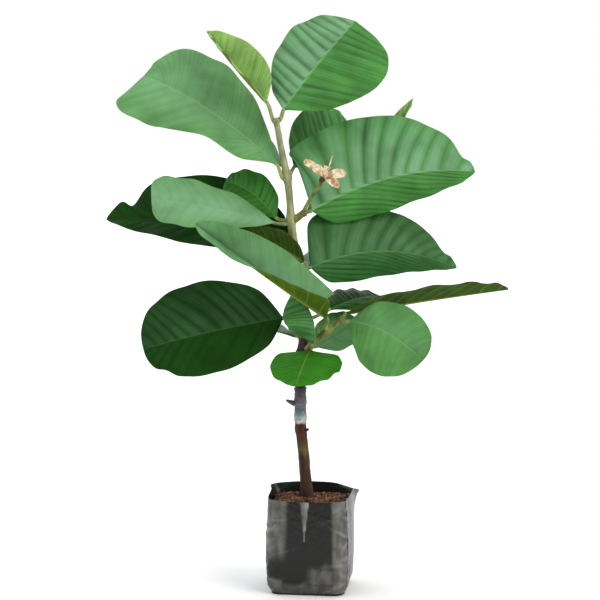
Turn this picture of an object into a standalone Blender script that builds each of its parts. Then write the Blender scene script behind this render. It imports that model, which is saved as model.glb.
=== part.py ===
"""A young grafted guava tree standing in a black nursery grow bag, in separate solid sub-parts.

The origin is at the centre of the bag's flat underside, with +Z up and the front of the tree towards -Y.
Every length is in metres. Sizes that are easier to read in millimetres are multiplied by MM.
"""

from dataclasses import dataclass
from math import atan2, cos, exp, hypot, pi, radians, sin, sqrt

import bpy
import numpy as np
from mathutils import Vector

MM = 0.001

# Clearance between solids that touch on the real plant
GAP = 0.3 * MM

# Faces that meet at less than this many degrees are shaded as one surface
SMOOTH_BELOW = 40

# Grow bag: a five inch lay-flat film bag, opened square round its soil
BAG_LAY_FLAT = 127 * MM
BAG_CORNER = 9 * MM
BAG_FILM = 1.0 * MM
BAG_RIM = 83 * MM
BAG_RIM_LIFT = 2.5 * MM
BAG_LIFT_POWER = 6
BAG_YAW = -7.0
BAG_STEPS_PER_CORNER = 6
BAG_BULGE = 1.5 * MM
BAG_EAR_FOOT = 56 * MM
# The corners of the rim that are pulled out: bearing, reach, spread and how far each droops
BAG_EARS = ((45, 9 * MM, 12, 0.7), (138, 8 * MM, 18, 0.3))
BAG_FOOT_TUCK = 4 * MM
BAG_FOOT_HEIGHT = 9 * MM
BAG_LEVELS = (0, 3, 9, 20, 34, 48, 60, 68)
BAG_FINE_LEVEL = 79 * MM

# Soil: stands a few millimetres under the rim and rises gently to the trunk
SOIL_EDGE = 74 * MM
SOIL_SIDE_GAP = 0.6 * MM
SOIL_CROWN = 78 * MM
SOIL_RINGS = (1.0, 0.72, 0.46, 0.28)

# Trunk and graft
TRUNK_SIDES = 16
WRAP_FOOT = 142 * MM
WRAP_TOP = 173 * MM
WRAP_WALL = 0.5 * MM

# Leaves: a blade thins towards its margins, and one shorter than SMALL_LEAF gets fewer faces
BLADE_THICK = 1.6 * MM
MARGIN_THINNING = 0.35
TIP_HALF_WIDTH = 0.3 * MM
SMALL_LEAF = 90 * MM
PETIOLE_RADIUS = 1.5 * MM
PETIOLE_FLATNESS = 0.85
PETIOLE_PULL = 0.35
PETIOLE_STEPS = 3

# Where the lateral veins run forward, and where a blade's heel and notch lie, as shares of its length
VEIN_RAKE = 0.55
VEIN_CURVE = 1.25
LOBE_CURVE = 1.5
HEEL_AT = 0.12
NOTCH_AT = 0.86
NOTCH_SPREAD = 0.14


@dataclass
class Limb:
    """A trunk, stem, twig or stalk: the points its axis passes through and its radius at each, in mm."""

    name: str
    points: tuple
    radii: tuple
    colour: tuple
    sides: int = 10
    steps: int = 3
    level_ends: tuple = (False, False)

    def place(self, share):
        """The axis point, direction and radius at a share of the way along the limb, in metres."""
        count = len(self.points) - 1
        span = min(int(share * count), count - 1)
        t = share * count - span
        ring = [np.array(self.points[min(max(span + k, 0), count)], float) for k in (-1, 0, 1, 2)]
        if span == 0:
            ring[0] = 2 * ring[1] - ring[2]
        if span == count - 1:
            ring[3] = 2 * ring[2] - ring[1]
        a, b, c, d = ring
        square, cube = 2 * a - 5 * b + 4 * c - d, 3 * b - 3 * c + d - a
        point = (2 * b + (c - a) * t + square * t**2 + cube * t**3) / 2
        slope = ((c - a) + 2 * square * t + 3 * cube * t**2) / 2
        radius = self.radii[span] * (1 - t) + self.radii[span + 1] * t
        return point * MM, slope / np.linalg.norm(slope), radius * MM


@dataclass
class Leaf:
    """One leaf: where its blade starts and ends, and how the blade is held and shaped.

    base, tip and bow are in mm, and bow moves the middle of the midrib off the straight line.
    limb and share say where the petiole leaves its limb. roll, twist, fold and curl are in degrees:
    roll turns the blade about its midrib, fold lifts both halves, curl bends them back down.
    lean makes the left half wider, foot and nose shape the two ends, heel and far_heel draw the left
    and the right half back past the base, and notch carries the margins past the tip. A dent is the
    half that it is in (1 left, -1 right), its place along, its share of the width and its spread.
    """

    name: str
    limb: str
    share: float
    base: tuple
    tip: tuple
    width: float
    roll: float = 0
    bow: tuple = (0, 0, 4)
    twist: float = 0
    fold: float = 10
    curl: float = 15
    lean: float = 0
    foot: float = 0.6
    nose: float = 0.5
    heel: float = 0
    far_heel: float = 0
    dents: tuple = ()
    notch: float = 0


# Linear colours
BARK = (0.110, 0.055, 0.030)
STEM_GREEN = (0.190, 0.210, 0.080)
LEAF_GREEN = (0.060, 0.190, 0.055)
WRAP_GREY = (0.42, 0.45, 0.50)
BAG_BLACK = (0.012, 0.012, 0.013)
SOIL_BROWN = (0.080, 0.045, 0.028)
PETAL_TAN = (0.60, 0.45, 0.28)

LIMBS = (
    Limb(
        "trunk",
        ((-3, 0, 78.3), (-4, 0, 90), (-5, 0, 100), (-6, 0, 114), (-8, 0, 133),
         (-9, 0, 145), (-9, 0, 158), (-9, 0, 173), (-8, 0, 192), (-7, 0, 206)),
        (6.2, 5.0, 4.9, 4.8, 4.7, 4.6, 4.5, 4.5, 4.5, 5.2),
        BARK,
        sides=TRUNK_SIDES,
        steps=2,
        level_ends=(True, True),
    ),
    Limb(
        "main_stem",
        ((-7, 0, 206.3), (-5, 1, 222), (-8, 2, 248), (-13, 2, 280), (-15.5, 1, 303), (-17, 0, 316),
         (-18, 0, 333), (-20, 0, 351), (-25, 0, 375), (-28, 0, 392), (-30, 0, 402)),
        (4.6, 4.2, 3.9, 3.6, 3.4, 3.5, 2.8, 3.2, 2.5, 2.3, 2.6),
        STEM_GREEN,
        steps=2,
        level_ends=(True, False),
    ),
    Limb(
        "bearing_twig",
        ((-12.0, -0.7, 317.6), (-9, -1.5, 320), (-5, -2.5, 322.5)),
        (3.0, 2.8, 2.6),
        STEM_GREEN,
    ),
    Limb(
        "low_branch",
        ((-2.6, -5.4, 207.5), (1, -8, 211.5), (14, -10, 223), (21, -10, 228.5), (27, -10, 234)),
        (2.6, 2.6, 2.7, 2.1, 1.9),
        STEM_GREEN,
    ),
    Limb(
        "flower_stalk",
        ((-6.1, -5.0, 324.1), (-1.4, -9.3, 333), (4, -12, 341), (8, -14, 347)),
        (1.5, 1.5, 1.4, 1.6),
        STEM_GREEN,
        sides=8,
        level_ends=(False, True),
    ),
    Limb(
        "pruned_stub",
        ((-15.5, -1.0, 160.0), (-18, -1.5, 161), (-21, -2, 162.5)),
        (2.2, 1.7, 0.9),
        BARK,
        sides=8,
    ),
)

LEAVES = (
    Leaf("leaf_top_right", "main_stem", 0.97, (-23, 0, 409), (39, 60, 487), 100, roll=34, bow=(0, 0, 3),
         fold=-8, curl=10, lean=-0.06, foot=0.68, nose=0.36),
    Leaf("leaf_top_left", "main_stem", 0.97, (-38, 8, 416), (-90, 45, 477), 48, roll=-18, bow=(0, 0, -2),
         fold=50, curl=10, nose=0.75),
    Leaf("leaf_left_big", "main_stem", 0.70, (-29, -2, 363), (-141, 50, 438), 98, roll=-40, bow=(0, 0, 7),
         foot=0.95, nose=0.34, heel=0.05, notch=0.1, lean=-0.02,
         dents=((1, 0.42, 0.3, 0.16), (1, 0.9, -0.12, 0.12), (-1, 0.97, 0.5, 0.05))),
    Leaf("leaf_right_back", "main_stem", 0.70, (-14, 22, 361), (38, 96, 394), 64, roll=58, bow=(0, 0, 6)),
    Leaf("leaf_right_big", "bearing_twig", 1.0, (1, -2, 324), (142, 35, 356), 90, roll=88, bow=(0, 0, 12),
         fold=-14, curl=14, lean=0.34, nose=0.68, foot=0.42, heel=0.15, dents=((1, 0.93, 0.35, 0.05),)),
    Leaf("leaf_left_mid", "main_stem", 0.48, (-32, -4, 314), (-133, -25, 334), 57, roll=-44, bow=(0, 0, 3),
         foot=0.7, nose=0.2),
    Leaf("leaf_left_back", "main_stem", 0.50, (-30, 6, 318), (-74, 30, 347), 38, roll=-50, bow=(0, 0, 7)),
    Leaf("leaf_far_left", "main_stem", 0.37, (-16, 12, 291), (-180, 62, 314), 66, roll=-62, bow=(0, 0, 8),
         fold=20, lean=-0.36, nose=0.75, dents=((-1, 0.865, 0.48, 0.04),)),
    Leaf("leaf_right_mid", "main_stem", 0.29, (0, -3, 276), (128, 48, 272), 66, roll=85, bow=(0, 0, 14),
         fold=-8, curl=12, lean=0.28, foot=0.36, nose=0.8, heel=0.07, dents=((1, 0.9, 0.35, 0.05),)),
    Leaf("leaf_left_under", "main_stem", 0.26, (-6, -9, 281), (-57, 1, 302), 30, roll=68, bow=(0, 0, 4),
         foot=0.45),
    Leaf("leaf_front_arch", "low_branch", 0.50, (13, -17, 235), (-95, -50, 315), 54, roll=-12, bow=(0, 0, -2),
         twist=-71, fold=53, curl=10, foot=0.36, heel=0.1, far_heel=0.2),
    Leaf("leaf_low_left", "main_stem", 0.10, (-24, -4, 233), (-142, -10, 207), 86, roll=-60, bow=(0, 0, 2),
         lean=-0.1, foot=0.55, nose=0.42, dents=((1, 0.88, 0.12, 0.05),)),
    Leaf("leaf_centre_small", "low_branch", 0.28, (2, -21, 212), (-14, -12, 257), 40, roll=69, bow=(7, 0, 1),
         twist=-95, fold=-44, lean=0.35),
    Leaf("leaf_low_mid_back", "trunk", 0.97, (3, 7, 208), (40, 24, 229), 36, roll=50, bow=(0, 0, 0)),
    Leaf("leaf_low_right", "low_branch", 0.93, (33, -13, 231), (91, -66, 204), 62, roll=64, bow=(0, 0, 7),
         lean=-0.12, foot=0.65, nose=0.42),
    Leaf("leaf_right_edge", "low_branch", 1.0, (30, -9, 238), (166, -14, 258), 46, roll=-8, bow=(0, 0, 1),
         fold=30, curl=10),
    Leaf("leaf_back_dark", "main_stem", 0.14, (16, 12, 239), (62, 70, 246), 44, roll=14, bow=(0, 0, 3)),
    Leaf("leaf_front_low", "trunk", 0.97, (-1, -12, 206), (-13, -72, 184), 60, roll=-2, bow=(0, 0, 2),
         fold=0, curl=-5, lean=0.1, foot=0.5),
    Leaf("leaf_rear_upper", "main_stem", 0.72, (-22, 12, 360), (-105, 115, 405), 62, bow=(0, 0, 8),
         foot=1.2),
    Leaf("leaf_rear_right", "main_stem", 0.52, (-4, 12, 322), (90, 66, 420), 30, roll=20, bow=(8, 0, -7),
         fold=45, nose=0.8),
    Leaf("leaf_rear_mid_left", "main_stem", 0.27, (-17, 13, 280), (-84, 122, 300), 66, bow=(0, 0, 8)),
    Leaf("leaf_rear_mid_right", "main_stem", 0.27, (-3, 13, 276), (82, 120, 290), 66, bow=(0, 0, 8)),
    Leaf("leaf_rear_low_left", "main_stem", 0.05, (-12, 11, 216), (-96, 108, 205), 64, bow=(0, 0, 8),
         foot=1.2),
    Leaf("leaf_rear_low_right", "trunk", 0.95, (0, 14, 206), (77, 105, 190), 62, bow=(0, 0, 7)),
)

# Dried flower, in mm: brown calyx, four withered petals and the long style, held towards the front
FLOWER_AT = (8, -14, 347.3)
CALYX_RADIUS = 3.2
CALYX_REACH = (4.0, -1.8, 7.8)
HEART = (3, -2, 6)
PETALS = (
    (-21, 1, 19, 7.5),
    (17, -4, 6, 6.5),
    (9, -7, -6, 6.0),
    (3, 12, 8, 6.0),
)
PETAL_THICK = 1.1
PETAL_DROOP = 2.0
PETAL_CUP = 0.18
PETAL_SPREADS = ((0.0, 0.35), (0.25, 0.6), (0.55, 1.0), (0.85, 0.85), (1.0, 0.35))
STYLE_REACH = (10, -3, 22)
STYLE_RADII = ((0.0, 1.0), (0.5, 0.8), (1.0, 0.6))


def clear_scene():
    """Remove every object that the start-up scene holds."""
    for item in list(bpy.data.objects):
        bpy.data.objects.remove(item, do_unlink=True)


def finish(name, colour, roughness=0.5):
    """A plain Principled material."""
    material = bpy.data.materials.new(name)
    material.use_nodes = True
    shader = material.node_tree.nodes["Principled BSDF"]
    shader.inputs["Base Color"].default_value = (*colour, 1.0)
    shader.inputs["Roughness"].default_value = roughness
    return material


def add_object(name, points, faces, colour, roughness=0.5):
    """A mesh object made from points in metres and faces that point outwards, with its own material."""
    mesh = bpy.data.meshes.new(name)
    mesh.from_pydata([tuple(map(float, p)) for p in points], [], faces)
    mesh.validate()
    mesh.shade_smooth()
    mesh.set_sharp_from_angle(angle=radians(SMOOTH_BELOW))
    mesh.materials.append(finish(name, colour, roughness))
    item = bpy.data.objects.new(name, mesh)
    bpy.context.scene.collection.objects.link(item)
    return item


def loft(rings):
    """Points and faces of a closed body through rings of equal count, with a flat cap on each end."""
    count = len(rings[0])
    points = [p for ring in rings for p in ring]
    faces = []
    for row in range(len(rings) - 1):
        for k in range(count):
            a = row * count + k
            b = row * count + (k + 1) % count
            faces.append((a, b, b + count, a + count))
    faces.append(tuple(reversed(range(count))))
    faces.append(tuple(range(len(points) - count, len(points))))
    return points, faces


def carried_frames(points, slopes, first):
    """A side vector for each point of a path, carried along it without turning about it."""
    sides = [first]
    for before, after in zip(slopes[:-1], slopes[1:]):
        turn = Vector(before).rotation_difference(Vector(after))
        sides.append(np.array(turn @ Vector(sides[-1])))
    return sides


def round_ring(centre, side, up, radius, sides):
    """The points of a circle round a centre."""
    angles = [2 * pi * k / sides for k in range(sides)]
    return [centre + radius * (cos(a) * side + sin(a) * up) for a in angles]


def limb_rings(limb, first=0.0, last=1.0, extra=0.0):
    """Rings round a limb's axis between two shares of its length, out from its surface by extra metres."""
    spans = max(2, round((last - first) * (len(limb.points) - 1) * limb.steps))
    stations = [limb.place(first + (last - first) * k / spans) for k in range(spans + 1)]
    slopes = [s[1] for s in stations]
    upright = np.array((0.0, 0.0, 1.0))
    if limb.level_ends[0] and first == 0.0:
        slopes[0] = upright
    if limb.level_ends[1] and last == 1.0:
        slopes[-1] = upright
    across = np.cross(slopes[0], (0.0, 1.0, 0.2))
    across /= np.linalg.norm(across)
    across = across - slopes[0] * float(across @ slopes[0])
    across /= np.linalg.norm(across)
    sides = carried_frames([s[0] for s in stations], slopes, across)
    rings = []
    for (centre, _, radius), slope, side in zip(stations, slopes, sides):
        rings.append(round_ring(centre, side, np.cross(slope, side), radius + extra, limb.sides))
    return rings


def add_limb(limb):
    """The solid of one limb."""
    add_object(limb.name, *loft(limb_rings(limb)), limb.colour, 0.7)


def share_at_height(limb, height):
    """The share along an upright limb where its axis reaches a height."""
    low, high = 0.0, 1.0
    for _ in range(30):
        middle = (low + high) / 2
        if limb.place(middle)[0][2] < height:
            low = middle
        else:
            high = middle
    return (low + high) / 2


def add_graft_wrap(trunk):
    """The film sleeve bound round the graft, standing clear of the bark."""
    first, last = share_at_height(trunk, WRAP_FOOT), share_at_height(trunk, WRAP_TOP)
    inner = limb_rings(trunk, first, last, GAP)
    outer = limb_rings(trunk, first, last, GAP + WRAP_WALL)
    count, rows = trunk.sides, len(outer)
    points = [p for ring in outer for p in ring] + [p for ring in inner for p in ring]
    inside = rows * count
    faces = []
    for k in range(count):
        n = (k + 1) % count
        for row in range(rows - 1):
            a, b = row * count + k, row * count + n
            faces.append((a, b, b + count, a + count))
            faces.append((inside + b, inside + a, inside + a + count, inside + b + count))
        top = (rows - 1) * count
        faces.append((k, inside + k, inside + n, n))
        faces.append((top + n, inside + top + n, inside + top + k, top + k))
    add_object("graft_wrap", points, faces, WRAP_GREY, 0.4)


def half_outline(x, leaf):
    """The blade's half width at a share of its length, as a share of its greatest half width."""
    x = np.clip(x, 0, 1)
    widest = leaf.foot / (leaf.foot + leaf.nose)
    return (x / widest) ** leaf.foot * ((1 - x) / (1 - widest)) ** leaf.nose


def blade_grid(leaf, rows, columns):
    """The blade's middle surface and its normals, row by row along the lateral veins."""
    base, tip = np.array(leaf.base, float) * MM, np.array(leaf.tip, float) * MM
    middle = (base + tip) / 2 + 2 * np.array(leaf.bow, float) * MM
    along = (1 - np.cos(np.linspace(0, pi, rows))) / 2
    across = np.linspace(-1, 1, columns)
    reach = np.abs(across)[None]
    margin = np.minimum(along + VEIN_RAKE * along**0.7 * (1 - along), 1)
    width = leaf.width * MM / 2 * half_outline(margin, leaf)
    x = along[:, None] + (margin - along)[:, None] * reach**VEIN_CURVE
    x = x + leaf.notch * reach**LOBE_CURVE * np.exp(-(((along[:, None] - NOTCH_AT) / NOTCH_SPREAD) ** 2))
    near_foot = (along[:, None] / HEEL_AT) ** 2
    heel = np.where(across > 0, leaf.heel, leaf.far_heel)[None]
    x = x - heel * reach**LOBE_CURVE * near_foot * np.exp(1 - near_foot)
    u = x[..., None]
    centre = base * (1 - u) ** 2 + 2 * middle * u * (1 - u) + tip * u**2
    slope = 2 * (middle - base) * (1 - u) + 2 * (tip - middle) * u
    slope /= np.linalg.norm(slope, axis=-1, keepdims=True)
    level = np.cross(np.broadcast_to((0.0, 0.0, 1.0), slope.shape), slope)
    level /= np.linalg.norm(level, axis=-1, keepdims=True)
    above = np.cross(slope, level)
    roll = np.radians(leaf.roll + leaf.twist * x)[..., None]
    side = level * np.cos(roll) + above * np.sin(roll)
    up = above * np.cos(roll) - level * np.sin(roll)
    fold, curl = radians(leaf.fold), radians(leaf.curl) or 0.001
    bend = fold - curl * reach
    out = (sin(fold) - np.sin(bend)) / curl
    rise = (np.cos(bend) - cos(fold)) / curl
    hand = np.sign(across)[None]
    half = width[:, None] * (1 + leaf.lean * hand)
    for hand_of, at, share, spread in leaf.dents:
        dent = share * np.exp(-(((margin - at) / spread) ** 2))
        half = half * np.where(hand == hand_of, 1 - dent[:, None], 1)
    points = centre + side * (hand * out * half)[..., None] + up * (rise * half)[..., None]
    lean_in = (hand * np.sin(bend))[..., None]
    normals = up * np.where(hand == 0, 1.0, np.cos(bend))[..., None] - side * lean_in
    normals /= np.linalg.norm(normals, axis=-1, keepdims=True)
    return points, normals, side[0, columns // 2], up[0, columns // 2], slope[0, columns // 2]


def petiole_path(leaf, limb, slope):
    """Points and slopes from just clear of the limb to the foot of the blade."""
    axis, run, radius = limb.place(leaf.share)
    base = np.array(leaf.base, float) * MM
    away = base - axis
    if leaf.share < 1.0:
        away = away - run * float(away @ run)
    else:
        away = run.copy()
        radius = 0.0
    away /= np.linalg.norm(away)
    start = axis + away * (radius + GAP)
    reach = np.linalg.norm(base - start)
    pull = PETIOLE_PULL * reach
    knots = (start, start + away * pull, base - slope * pull, base)
    points, slopes = [], []
    for t in np.linspace(0, 1, PETIOLE_STEPS + 1):
        a, b, c, d = knots
        points.append(a * (1 - t) ** 3 + 3 * b * t * (1 - t) ** 2 + 3 * c * t**2 * (1 - t) + d * t**3)
        tangent = (b - a) * (1 - t) ** 2 + 2 * (c - b) * t * (1 - t) + (d - c) * t**2
        slopes.append(tangent / np.linalg.norm(tangent))
    return points, slopes


def add_leaf(leaf, limbs):
    """The solid of one leaf: its petiole and blade in one loft, the blade's two faces BLADE_THICK apart."""
    length = np.linalg.norm(np.subtract(leaf.tip, leaf.base)) * MM
    small = length < SMALL_LEAF
    rows, columns = (9, 5) if small else (11, 7)
    points, normals, side, up, slope = blade_grid(leaf, rows, columns)
    shares = np.linspace(-1, 1, columns)
    path, slopes = petiole_path(leaf, limbs[leaf.limb], slope)
    sides = carried_frames(path[::-1], slopes[::-1], side)[::-1]
    rings = []
    for centre, run, across in list(zip(path, slopes, sides))[:-1]:
        above = np.cross(run, across)
        depth = np.sqrt(1 - PETIOLE_FLATNESS * shares**2)
        top = [centre + PETIOLE_RADIUS * (s * across + d * above) for s, d in zip(shares, depth)]
        low = [centre + PETIOLE_RADIUS * (s * across - d * above) for s, d in zip(shares, depth)]
        rings.append(low + top[::-1])
    neck = np.array([PETIOLE_RADIUS * s for s in shares])
    for row in range(rows):
        spread = TIP_HALF_WIDTH if row == rows - 1 else PETIOLE_RADIUS
        half = np.linalg.norm(points[row, -1] - points[row, columns // 2])
        grow = max(0.0, spread - half) / PETIOLE_RADIUS
        middle = points[row] + neck[:, None] * grow * side
        thick = BLADE_THICK / 2 * (1 - MARGIN_THINNING * shares**2)[:, None]
        top = middle + normals[row] * thick
        low = middle - normals[row] * thick
        rings.append(list(low) + list(top[::-1]))
    add_object(leaf.name, *loft(rings), LEAF_GREEN, 0.45)


def bag_half_side():
    """Half the side of the square that the lay-flat width opens into."""
    corner_saving = (8 - 2 * pi) * BAG_CORNER
    return (2 * BAG_LAY_FLAT + corner_saving) / 8


def rounded_square(half, corner):
    """The points of a rounded square about the origin, turned by the bag's yaw, with each point's bearing."""
    ring = []
    for quarter in range(4):
        for k in range(BAG_STEPS_PER_CORNER + 1):
            angle = pi / 2 * (quarter + k / BAG_STEPS_PER_CORNER)
            centre = pi / 4 + quarter * pi / 2
            x = (half - corner) * sqrt(2) * cos(centre) + corner * cos(angle)
            y = (half - corner) * sqrt(2) * sin(centre) + corner * sin(angle)
            ring.append((x, y))
        middle = pi / 2 * (quarter + 1)
        ring.append((half * cos(middle), half * sin(middle)))
    yaw = radians(BAG_YAW)
    return [(x * cos(yaw) - y * sin(yaw), x * sin(yaw) + y * cos(yaw)) for x, y in ring]


def bag_ring(height, inset):
    """One ring of the bag's wall at a height, moved inwards by inset."""
    half = bag_half_side() - inset
    share = height / BAG_RIM
    half += BAG_BULGE * sin(pi * min(1.0, share))
    half -= BAG_FOOT_TUCK * max(0.0, 1 - height / BAG_FOOT_HEIGHT) ** 2
    ring = []
    for x, y in rounded_square(half, BAG_CORNER):
        bearing = atan2(y, x)
        reach = hypot(x, y)
        ear_share = max(0.0, (height - BAG_EAR_FOOT) / (BAG_RIM - BAG_EAR_FOOT)) ** 2
        pulled, droop = 0.0, 0.0
        for at, length, spread, fall in BAG_EARS:
            off = (bearing - radians(at + BAG_YAW)) / radians(spread)
            ear = length * ear_share * exp(-(off**2))
            pulled += ear
            droop += fall * ear
        lift = (BAG_RIM_LIFT * sin(bearing) - droop) * share**BAG_LIFT_POWER
        scale = (reach + pulled) / reach
        ring.append(np.array((x * scale, y * scale, height + lift)))
    return ring


def add_grow_bag():
    """The open bag: an outer wall, a rim one film thick, an inner wall and a floor."""
    levels = [h * MM for h in BAG_LEVELS] + [SOIL_EDGE, BAG_FINE_LEVEL, BAG_RIM]
    outer = [bag_ring(h, 0.0) for h in levels]
    inner = [bag_ring(max(h, BAG_FILM), BAG_FILM) for h in levels]
    for point in inner[0]:
        point[2] = BAG_FILM
    points, faces = loft(outer + inner[::-1])
    add_object("grow_bag", points, faces, BAG_BLACK, 0.35)


def add_soil():
    """The soil that fills the bag, clear of the film, with its top domed up to the trunk."""
    inset = BAG_FILM + SOIL_SIDE_GAP
    levels = [BAG_FILM + GAP] + [h * MM for h in BAG_LEVELS[1:]] + [SOIL_EDGE]
    rings = [bag_ring(h, inset) for h in levels]
    for ring, height in zip(rings, levels):
        for point in ring:
            point[2] = height
    edge = bag_ring(SOIL_EDGE, inset)
    for share in SOIL_RINGS[1:]:
        height = SOIL_EDGE + (SOIL_CROWN - SOIL_EDGE) * min(1.0, (1 - share) / (1 - SOIL_RINGS[2]))
        rings.append([np.array((p[0] * share, p[1] * share, height)) for p in edge])
    add_object("soil", *loft(rings), SOIL_BROWN, 0.95)


def petal_body(reach, width):
    """A withered petal: a thin strip that widens, droops and ends blunt."""
    reach = np.array(reach, float)
    length = np.linalg.norm(reach)
    run = reach / length
    across = np.cross(run, (0.0, -1.0, 0.3))
    across /= np.linalg.norm(across)
    above = np.cross(across, run)
    rings = []
    for share, spread in PETAL_SPREADS:
        centre = reach * share + above * PETAL_DROOP * sin(pi * share)
        half = width / 2 * spread
        cup = PETAL_CUP * width * spread
        low = [centre + across * half * s + above * (cup * s * s - PETAL_THICK / 2) for s in (-1, 0, 1)]
        top = [centre + across * half * s + above * (cup * s * s + PETAL_THICK / 2) for s in (1, 0, -1)]
        rings.append(low + top)
    return rings


def add_dried_flower():
    """Calyx, petals and style, joined into one solid."""
    at = np.array(FLOWER_AT, float)
    bodies = []
    calyx = []
    for share in (0.0, 0.2, 0.5, 0.8, 1.0):
        radius = CALYX_RADIUS * sqrt(max(0.12, 1 - (2 * share - 1.05) ** 2))
        centre = at + np.array(CALYX_REACH) * share
        calyx.append(round_ring(centre, np.array((1.0, 0, 0)), np.array((0, 1.0, 0)), radius, 10))
    bodies.append(calyx)
    heart = at + np.array(HEART)
    for dx, dy, dz, width in PETALS:
        bodies.append([[p + heart for p in ring] for ring in petal_body((dx, dy, dz), width)])
    style = np.array(STYLE_REACH, float)
    bodies.append([
        round_ring(heart + style * share, np.array((1.0, 0, 0)), np.array((0, 1.0, 0)), radius, 6)
        for share, radius in STYLE_RADII
    ])
    group = bpy.data.collections.new("flower pieces")
    bpy.context.scene.collection.children.link(group)
    pieces = []
    for number, rings in enumerate(bodies):
        body = loft([[p * MM for p in ring] for ring in rings])
        piece = add_object(f"flower_piece_{number}", *body, PETAL_TAN)
        pieces.append(piece)
    whole = pieces.pop(0)
    whole.name = "dried_flower"
    for piece in pieces:
        bpy.context.scene.collection.objects.unlink(piece)
        group.objects.link(piece)
    join = whole.modifiers.new("join", "BOOLEAN")
    join.operation = "UNION"
    join.operand_type = "COLLECTION"
    join.collection = group
    graph = bpy.context.evaluated_depsgraph_get()
    joined = bpy.data.meshes.new_from_object(whole.evaluated_get(graph))
    whole.modifiers.clear()
    whole.data = joined
    for piece in pieces:
        bpy.data.objects.remove(piece, do_unlink=True)
    bpy.data.collections.remove(group)


def main():
    """Build the bag, its soil, the limbs, the leaves and the flower."""
    clear_scene()
    add_grow_bag()
    add_soil()
    limbs = {limb.name: limb for limb in LIMBS}
    for limb in LIMBS:
        add_limb(limb)
    add_graft_wrap(limbs["trunk"])
    for leaf in LEAVES:
        add_leaf(leaf, limbs)
    add_dried_flower()


main()
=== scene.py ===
"""The looks of a young grafted guava tree in its black grow bag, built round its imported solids.

Every length is in metres, with +Z up and the front of the tree towards -Y. Sizes that are easier to
read in millimetres are multiplied by MM. Each piece takes the place of the plain solid of its name,
grows by the same rule from the same named sizes, and keeps to the same space.

A pixel of the picture is 0.85 mm wide at the tree, so a pattern that is finer than that in life is
drawn coarser, and a comment beside it says so.
"""

import logging
from collections.abc import Callable, Sequence
from dataclasses import KW_ONLY, dataclass, field
from enum import Enum, IntEnum
from itertools import combinations
from math import cos, exp, pi, radians, sin, sqrt
from typing import ClassVar, NamedTuple

import bpy
import numpy as np
from mathutils import Matrix, Vector, noise


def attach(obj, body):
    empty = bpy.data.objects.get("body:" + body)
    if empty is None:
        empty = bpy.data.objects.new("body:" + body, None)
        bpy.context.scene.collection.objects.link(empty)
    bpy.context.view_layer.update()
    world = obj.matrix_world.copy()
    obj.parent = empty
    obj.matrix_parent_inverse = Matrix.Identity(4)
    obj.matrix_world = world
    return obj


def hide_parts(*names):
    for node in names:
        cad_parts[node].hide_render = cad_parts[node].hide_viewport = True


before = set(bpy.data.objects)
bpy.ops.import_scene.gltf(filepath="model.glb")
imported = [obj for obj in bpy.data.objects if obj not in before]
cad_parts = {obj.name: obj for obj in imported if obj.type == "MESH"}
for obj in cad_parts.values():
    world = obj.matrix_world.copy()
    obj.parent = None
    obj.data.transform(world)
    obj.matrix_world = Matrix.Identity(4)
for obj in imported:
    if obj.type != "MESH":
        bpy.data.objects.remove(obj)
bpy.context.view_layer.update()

LOG = logging.getLogger("guava_tree")

MM = 0.001
BODY = "root"

# The six inch film bag and its soil, as in the solids
BAG_LAY_FLAT = 127 * MM
BAG_CORNER = 9 * MM
BAG_RIM = 83 * MM
BAG_YAW = -7.0
SOIL_EDGE = 74 * MM
SOIL_CROWN = 78 * MM

# Leaves, as in the solids: how far the lateral veins run forward and how they bend, how sharply the
# lobes of heel and notch grow towards the margin, and where along the leaf they lie
VEIN_RAKE = 0.55
VEIN_CURVE = 1.25
LOBE_CURVE = 1.5
HEEL_AT = 0.12
NOTCH_AT = 0.86
NOTCH_SPREAD = 0.14

# Leaves, drawn: half the thickness of the blade, and how far the veins stand out below
BLADE_HALF = 0.22 * MM
VEIN_RISE = 0.22 * MM
MIDRIB_SINK = 0.2 * MM
BLADE_SWELL = 0.8 * MM
BLADE_SWELL_SIZE = 28 * MM

Pair = tuple[float, float]
Triple = tuple[float, float, float]
Band = tuple[float, str]
Array = np.ndarray


class Slot(Enum):
    """The material slots of the plant's record."""

    BARK = "bark"
    STEM = "green_stem"
    LEAF = "leaf"
    GRAFT_FILM = "graft_film"
    PETAL = "dry_petal"
    BAG_FILM = "bag_film"
    SOIL = "potting_soil"


class LeafFace(IntEnum):
    """The parts of a leaf's skin, numbered as its materials are."""

    LOWER = 0
    UPPER = 1
    MARGIN = 2
    PETIOLE = 3


class Half(IntEnum):
    """The half of a blade, seen from its foot towards its tip with the upper face on top."""

    LEFT = 1
    RIGHT = -1


def linear(colour: str) -> tuple[float, float, float, float]:
    """Turn an sRGB hex colour into the linear values that a shader takes.

    Args:
        colour: six hex digits after a hash sign.

    Returns:
        Linear red, green and blue, with an alpha of one.
    """
    parts = [int(colour[k : k + 2], 16) / 255 for k in (1, 3, 5)]
    red, green, blue = (c / 12.92 if c <= 0.04045 else ((c + 0.055) / 1.055) ** 2.4 for c in parts)
    return red, green, blue, 1.0


def per_metre(size_mm: float) -> float:
    """Texture scale that repeats a pattern about every size_mm millimetres."""
    return 1000.0 / size_mm


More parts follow.
